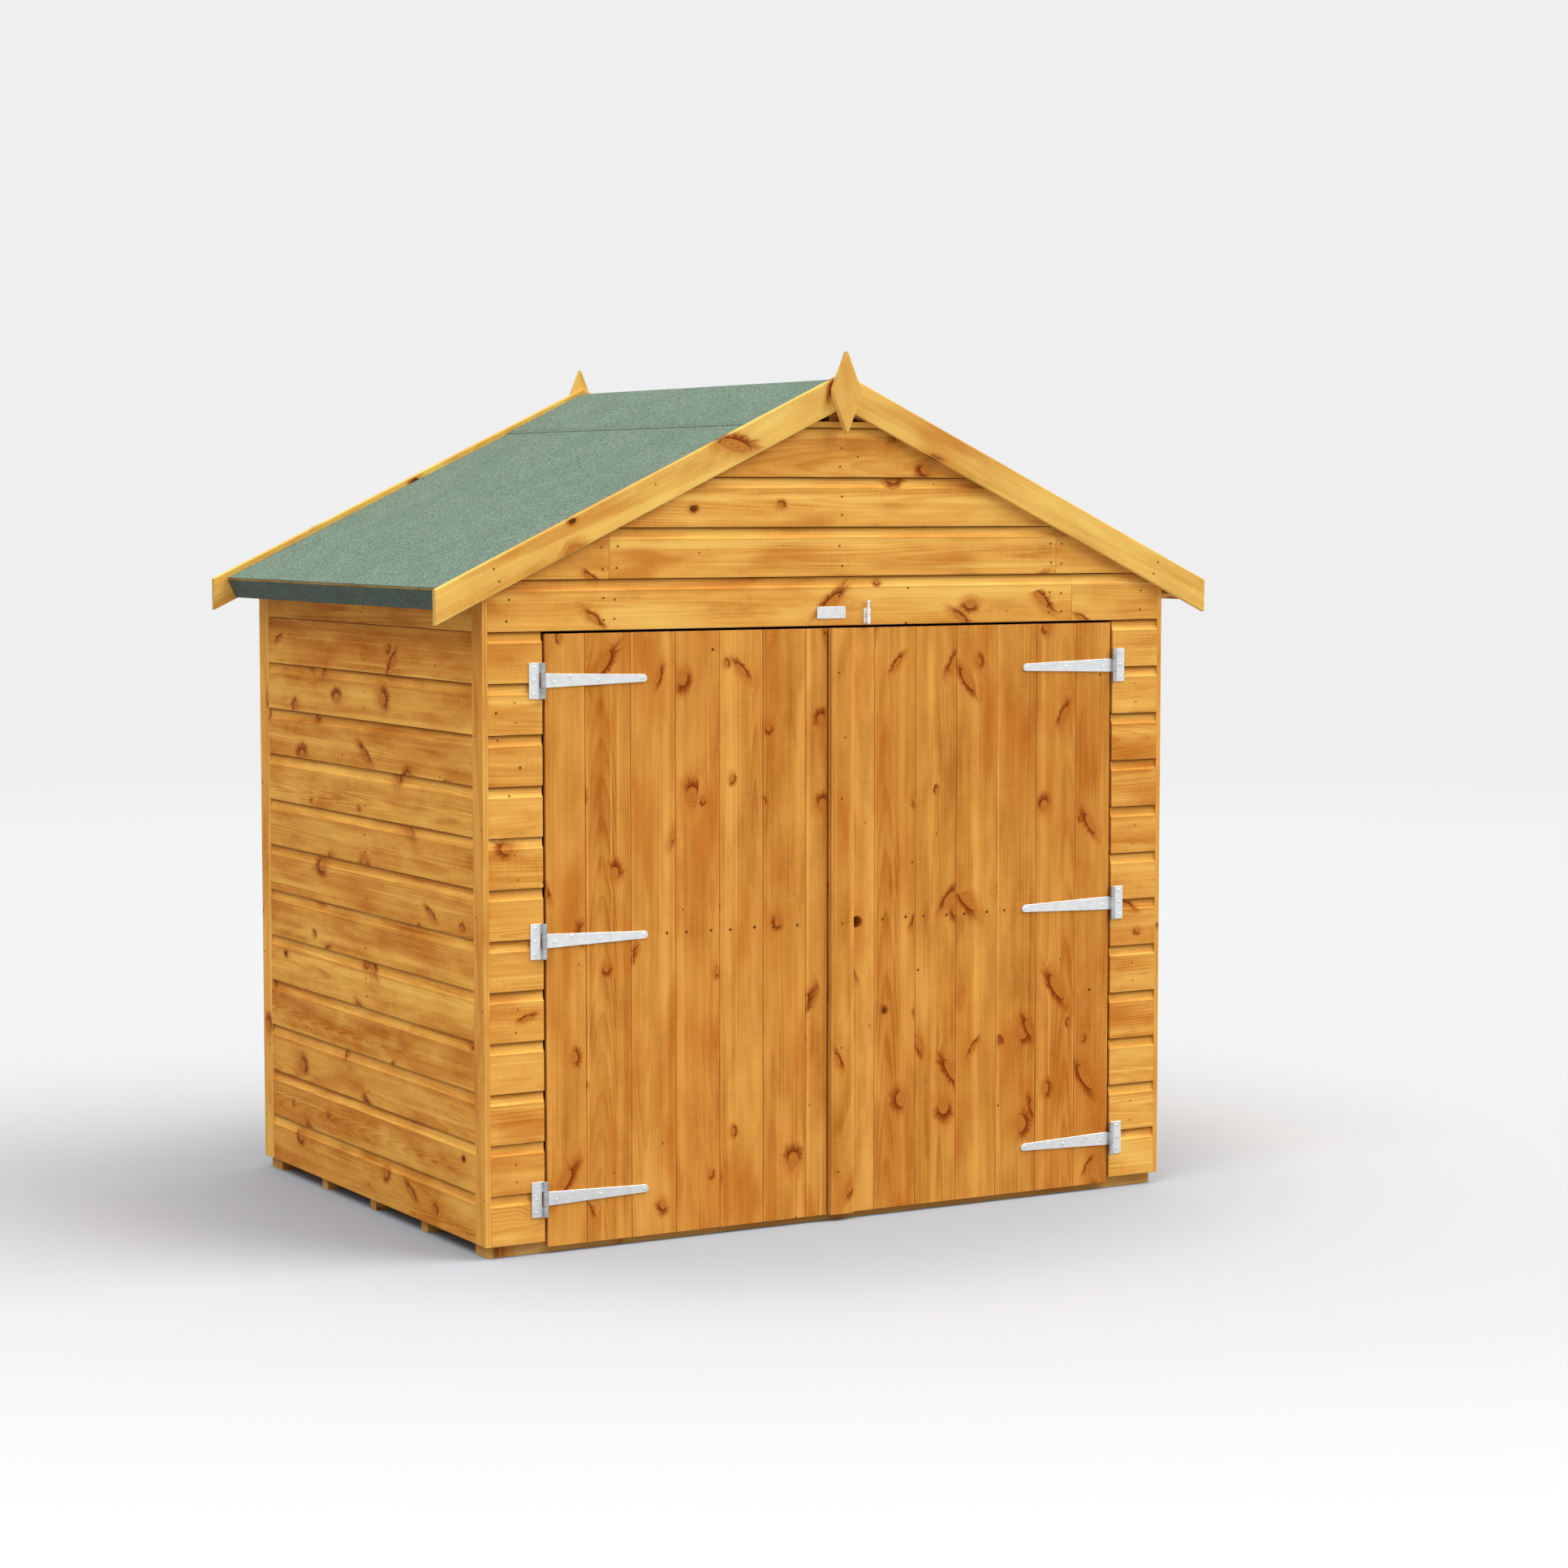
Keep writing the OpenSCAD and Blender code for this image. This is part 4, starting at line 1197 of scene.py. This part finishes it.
def build_bolt():
    """Small bolt over the right door: a plate with two guides, and the rod that slides in them."""
    low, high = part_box("bolt_plate")
    middle = (low + high) / 2
    rod_low, rod_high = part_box("bolt_rod")
    rod_y = (rod_low.y + rod_high.y) / 2
    base = HALF_D + BOLT_PLATE_T
    plate = Piece("bolt_back_plate")
    outline = rounded_rectangle(low.z, high.z, low.x, high.x, CORNER_R)
    plate.plate(outline, HALF_D, base, (Z, X, -Y), ORIGIN, METAL_EDGE)
    guide_r = rod_y - low.y
    bore = ROD_R + SEAT_GAP
    foot = (high.x - low.x) / 2 - FOOT_INSET
    foot_top = base + FOOT_T
    arch = [(-foot, base), (-foot, foot_top), (-guide_r, foot_top)] + arc((0, -rod_y), guide_r, 180, 0, 12)
    arch += [(guide_r, foot_top), (foot, foot_top), (foot, base), (bore, base)]
    arch += arc((0, -rod_y), bore, 0, 180, 12) + [(-bore, base)]
    section = [(middle.x + a, t, 0) for a, t in arch]
    for z in (low.z + GUIDE_INSET, high.z - GUIDE_INSET - GUIDE_H):
        plate.run(section, z, z + GUIDE_H, (Z, X, -Y))
    for rise in (-BOLT_SCREW_Z, BOLT_SCREW_Z):
        for shift in (-BOLT_SCREW_X, BOLT_SCREW_X):
            screw(plate, Vector((middle.x + shift, -base, middle.z + rise)), -Y, BOLT_SCREW_R)
    # The bolt's plate and rod take the lighter zinc, painted light
    plate.make(lit_zinc, "bolt_plate")

    rod = Piece("bolt_slider")
    cap_r = (rod_high.x - rod_low.x) / 2
    cap_z = rod_high.z - CAP_H
    edge = ROD_EDGE
    profile = ((ROD_R - 2 * edge, rod_low.z), (ROD_R, rod_low.z + 2 * edge), (ROD_R, cap_z),
               (cap_r - edge, cap_z), (cap_r, cap_z + edge), (cap_r, rod_high.z - edge),
               (cap_r - edge, rod_high.z), (cap_r * 0.4, rod_high.z))
    rod.turn([(radius, height, 0) for radius, height in profile], Vector((middle.x, rod_y, 0)), Z)
    rod.make(lit_zinc, "bolt_rod", body="top_bolt")


def build_bare_plate():
    """Small bare plate over the doors, held by two screws."""
    plate = Piece("bare_plate")
    face = HALF_D + BARE_PLATE_T
    outline = rounded_rectangle(*BARE_PLATE_X, *BARE_PLATE_Z, CORNER_R)
    plate.plate(outline, HALF_D, face, (X, Z, -Y), ORIGIN, METAL_EDGE)
    for x in (BARE_PLATE_X[0] + BARE_SCREW_INSET, BARE_PLATE_X[1] - BARE_SCREW_INSET):
        screw(plate, Vector((x, -face, sum(BARE_PLATE_Z) / 2)), -Y, BARE_SCREW_R)
    plate.make(zinc)


# Stage. A lamp has a strength, a spread in degrees and the way to it. The camera was fitted to the photo.

LOW_LIGHT = 0.06
TOP_LIGHT = 1.58
LAMPS = (("key", 2.1, 42, (0.56, -0.38, 0.74)), ("fill", 0.78, 28, (-0.50, -0.24, 0.83)))
WHITE = colour(255, 255, 255)
BACKDROP = colour(239, 239, 239)
FLOOR = colour(189, 190, 191)
# Darker, cooler floor near the shed: painted shade, with a tint against the warm light thrown off the wood
FLOOR_NEAR_SHADE = colour(169, 175, 181)
FLOOR_BOUNCE = colour(160, 160, 160)
FLOOR_HALF = 60.0
NEAR_SHADE_FADE = (0.9, 1.7)
FAR_FADE = (5.0, 16.0)
# The floor glows a little more towards the front: a painted pool of light
FRONT_FADE = (1.0, 3.4)
FRONT_GLOW_STRENGTH = 0.10
FAR_GLOW = 0.1
TO_CAMERA = (-0.48, -0.88, 0.0)
CAMERA_PLACE = (-4.1499, -7.6098, 1.6564)
CAMERA_DOWN = 4.546
CAMERA_TURN = -29.892
CAMERA_LENS = 81.42
CAMERA_SENSOR = 36.0


def floor_material():
    """Pale studio floor that fades into the background far from the shed. It throws little light back, is
    painted darker near the shed as shade, and glows a little towards the front as painted light.
    """
    s = Shader(bpy.data.materials.new("studio_floor"))
    place = s.coordinates()
    distance = s.node("VectorMath", {0: place}, operation="LENGTH")["Value"]
    nearer = s.node("VectorMath", {0: place, 1: TO_CAMERA}, operation="DOT_PRODUCT")["Value"]
    shown = s.shown()
    # Painted shade: darker and cooler near the shed
    floor = s.mix(s.ramp(distance, *NEAR_SHADE_FADE), FLOOR_NEAR_SHADE, FLOOR)
    plain = s.node("BsdfDiffuse", {"Color": s.mix(shown, FLOOR_BOUNCE, floor)})[0]
    # Painted light: the floor glows more towards the front
    front = s.ramp(nearer, *FRONT_FADE, 0.0, FRONT_GLOW_STRENGTH)
    front_glow = s.node("Emission", {"Strength": front})[0]
    glowing_floor = s.node("AddShader", {0: plain, 1: front_glow})[0]
    strength = s.ramp(shown, 0.0, 1.0, FAR_GLOW, 1.0)
    glow = s.node("Emission", {"Color": BACKDROP, "Strength": strength})[0]
    far = s.ramp(distance, *FAR_FADE)
    mixed = s.node("MixShader", {0: far, 1: glowing_floor, 2: glow})[0]
    s.node("OutputMaterial", {"Surface": mixed})
    return s.owner


def studio_world():
    """Soft light that grows towards the top, behind a plain pale backdrop."""
    s = Shader(bpy.data.worlds.new("studio"))
    rise = s.split(s.coordinates("Generated"))["Z"]
    strength = s.node("MapRange", {"Value": rise, "To Min": LOW_LIGHT, "To Max": TOP_LIGHT})[0]
    light = s.node("Background", {0: WHITE, 1: strength})[0]
    backdrop = s.node("Background", {0: BACKDROP})[0]
    mixed = s.node("MixShader", {0: s.shown(), 1: light, 2: backdrop})[0]
    s.node("OutputWorld", {0: mixed})
    return s.owner


def build_stage():
    """Pale floor, soft light and the camera."""
    scene = bpy.context.scene
    scene.view_settings.view_transform = "Standard"
    scene.world = studio_world()
    mesh = bpy.data.meshes.new("studio_floor")
    corners = rectangle(-FLOOR_HALF, FLOOR_HALF, -FLOOR_HALF, FLOOR_HALF)
    mesh.from_pydata([(x, y, 0) for x, y in corners], [], [(0, 1, 2, 3)])
    mesh.materials.append(floor_material())
    floor = bpy.data.objects.new("studio_floor", mesh)
    scene.collection.objects.link(floor)

    for name, energy, spread, source in LAMPS:
        lamp = bpy.data.lights.new(name, "SUN")
        lamp.energy = energy
        lamp.angle = radians(spread)
        holder = bpy.data.objects.new(name, lamp)
        holder.rotation_euler = Vector(source).to_track_quat("Z", "Y").to_euler()
        scene.collection.objects.link(holder)

    lens = bpy.data.cameras.new("camera")
    lens.sensor_width = CAMERA_SENSOR
    lens.lens = CAMERA_LENS
    camera = bpy.data.objects.new("camera", lens)
    camera.location = CAMERA_PLACE
    camera.rotation_euler = (radians(90 - CAMERA_DOWN), 0, radians(CAMERA_TURN))
    scene.collection.objects.link(camera)
    scene.camera = camera


build_walls()
build_frame()
build_trims()
build_roof()
build_gable_trim()
build_doors()
build_hinges()
build_bolt()
build_bare_plate()
build_stage()
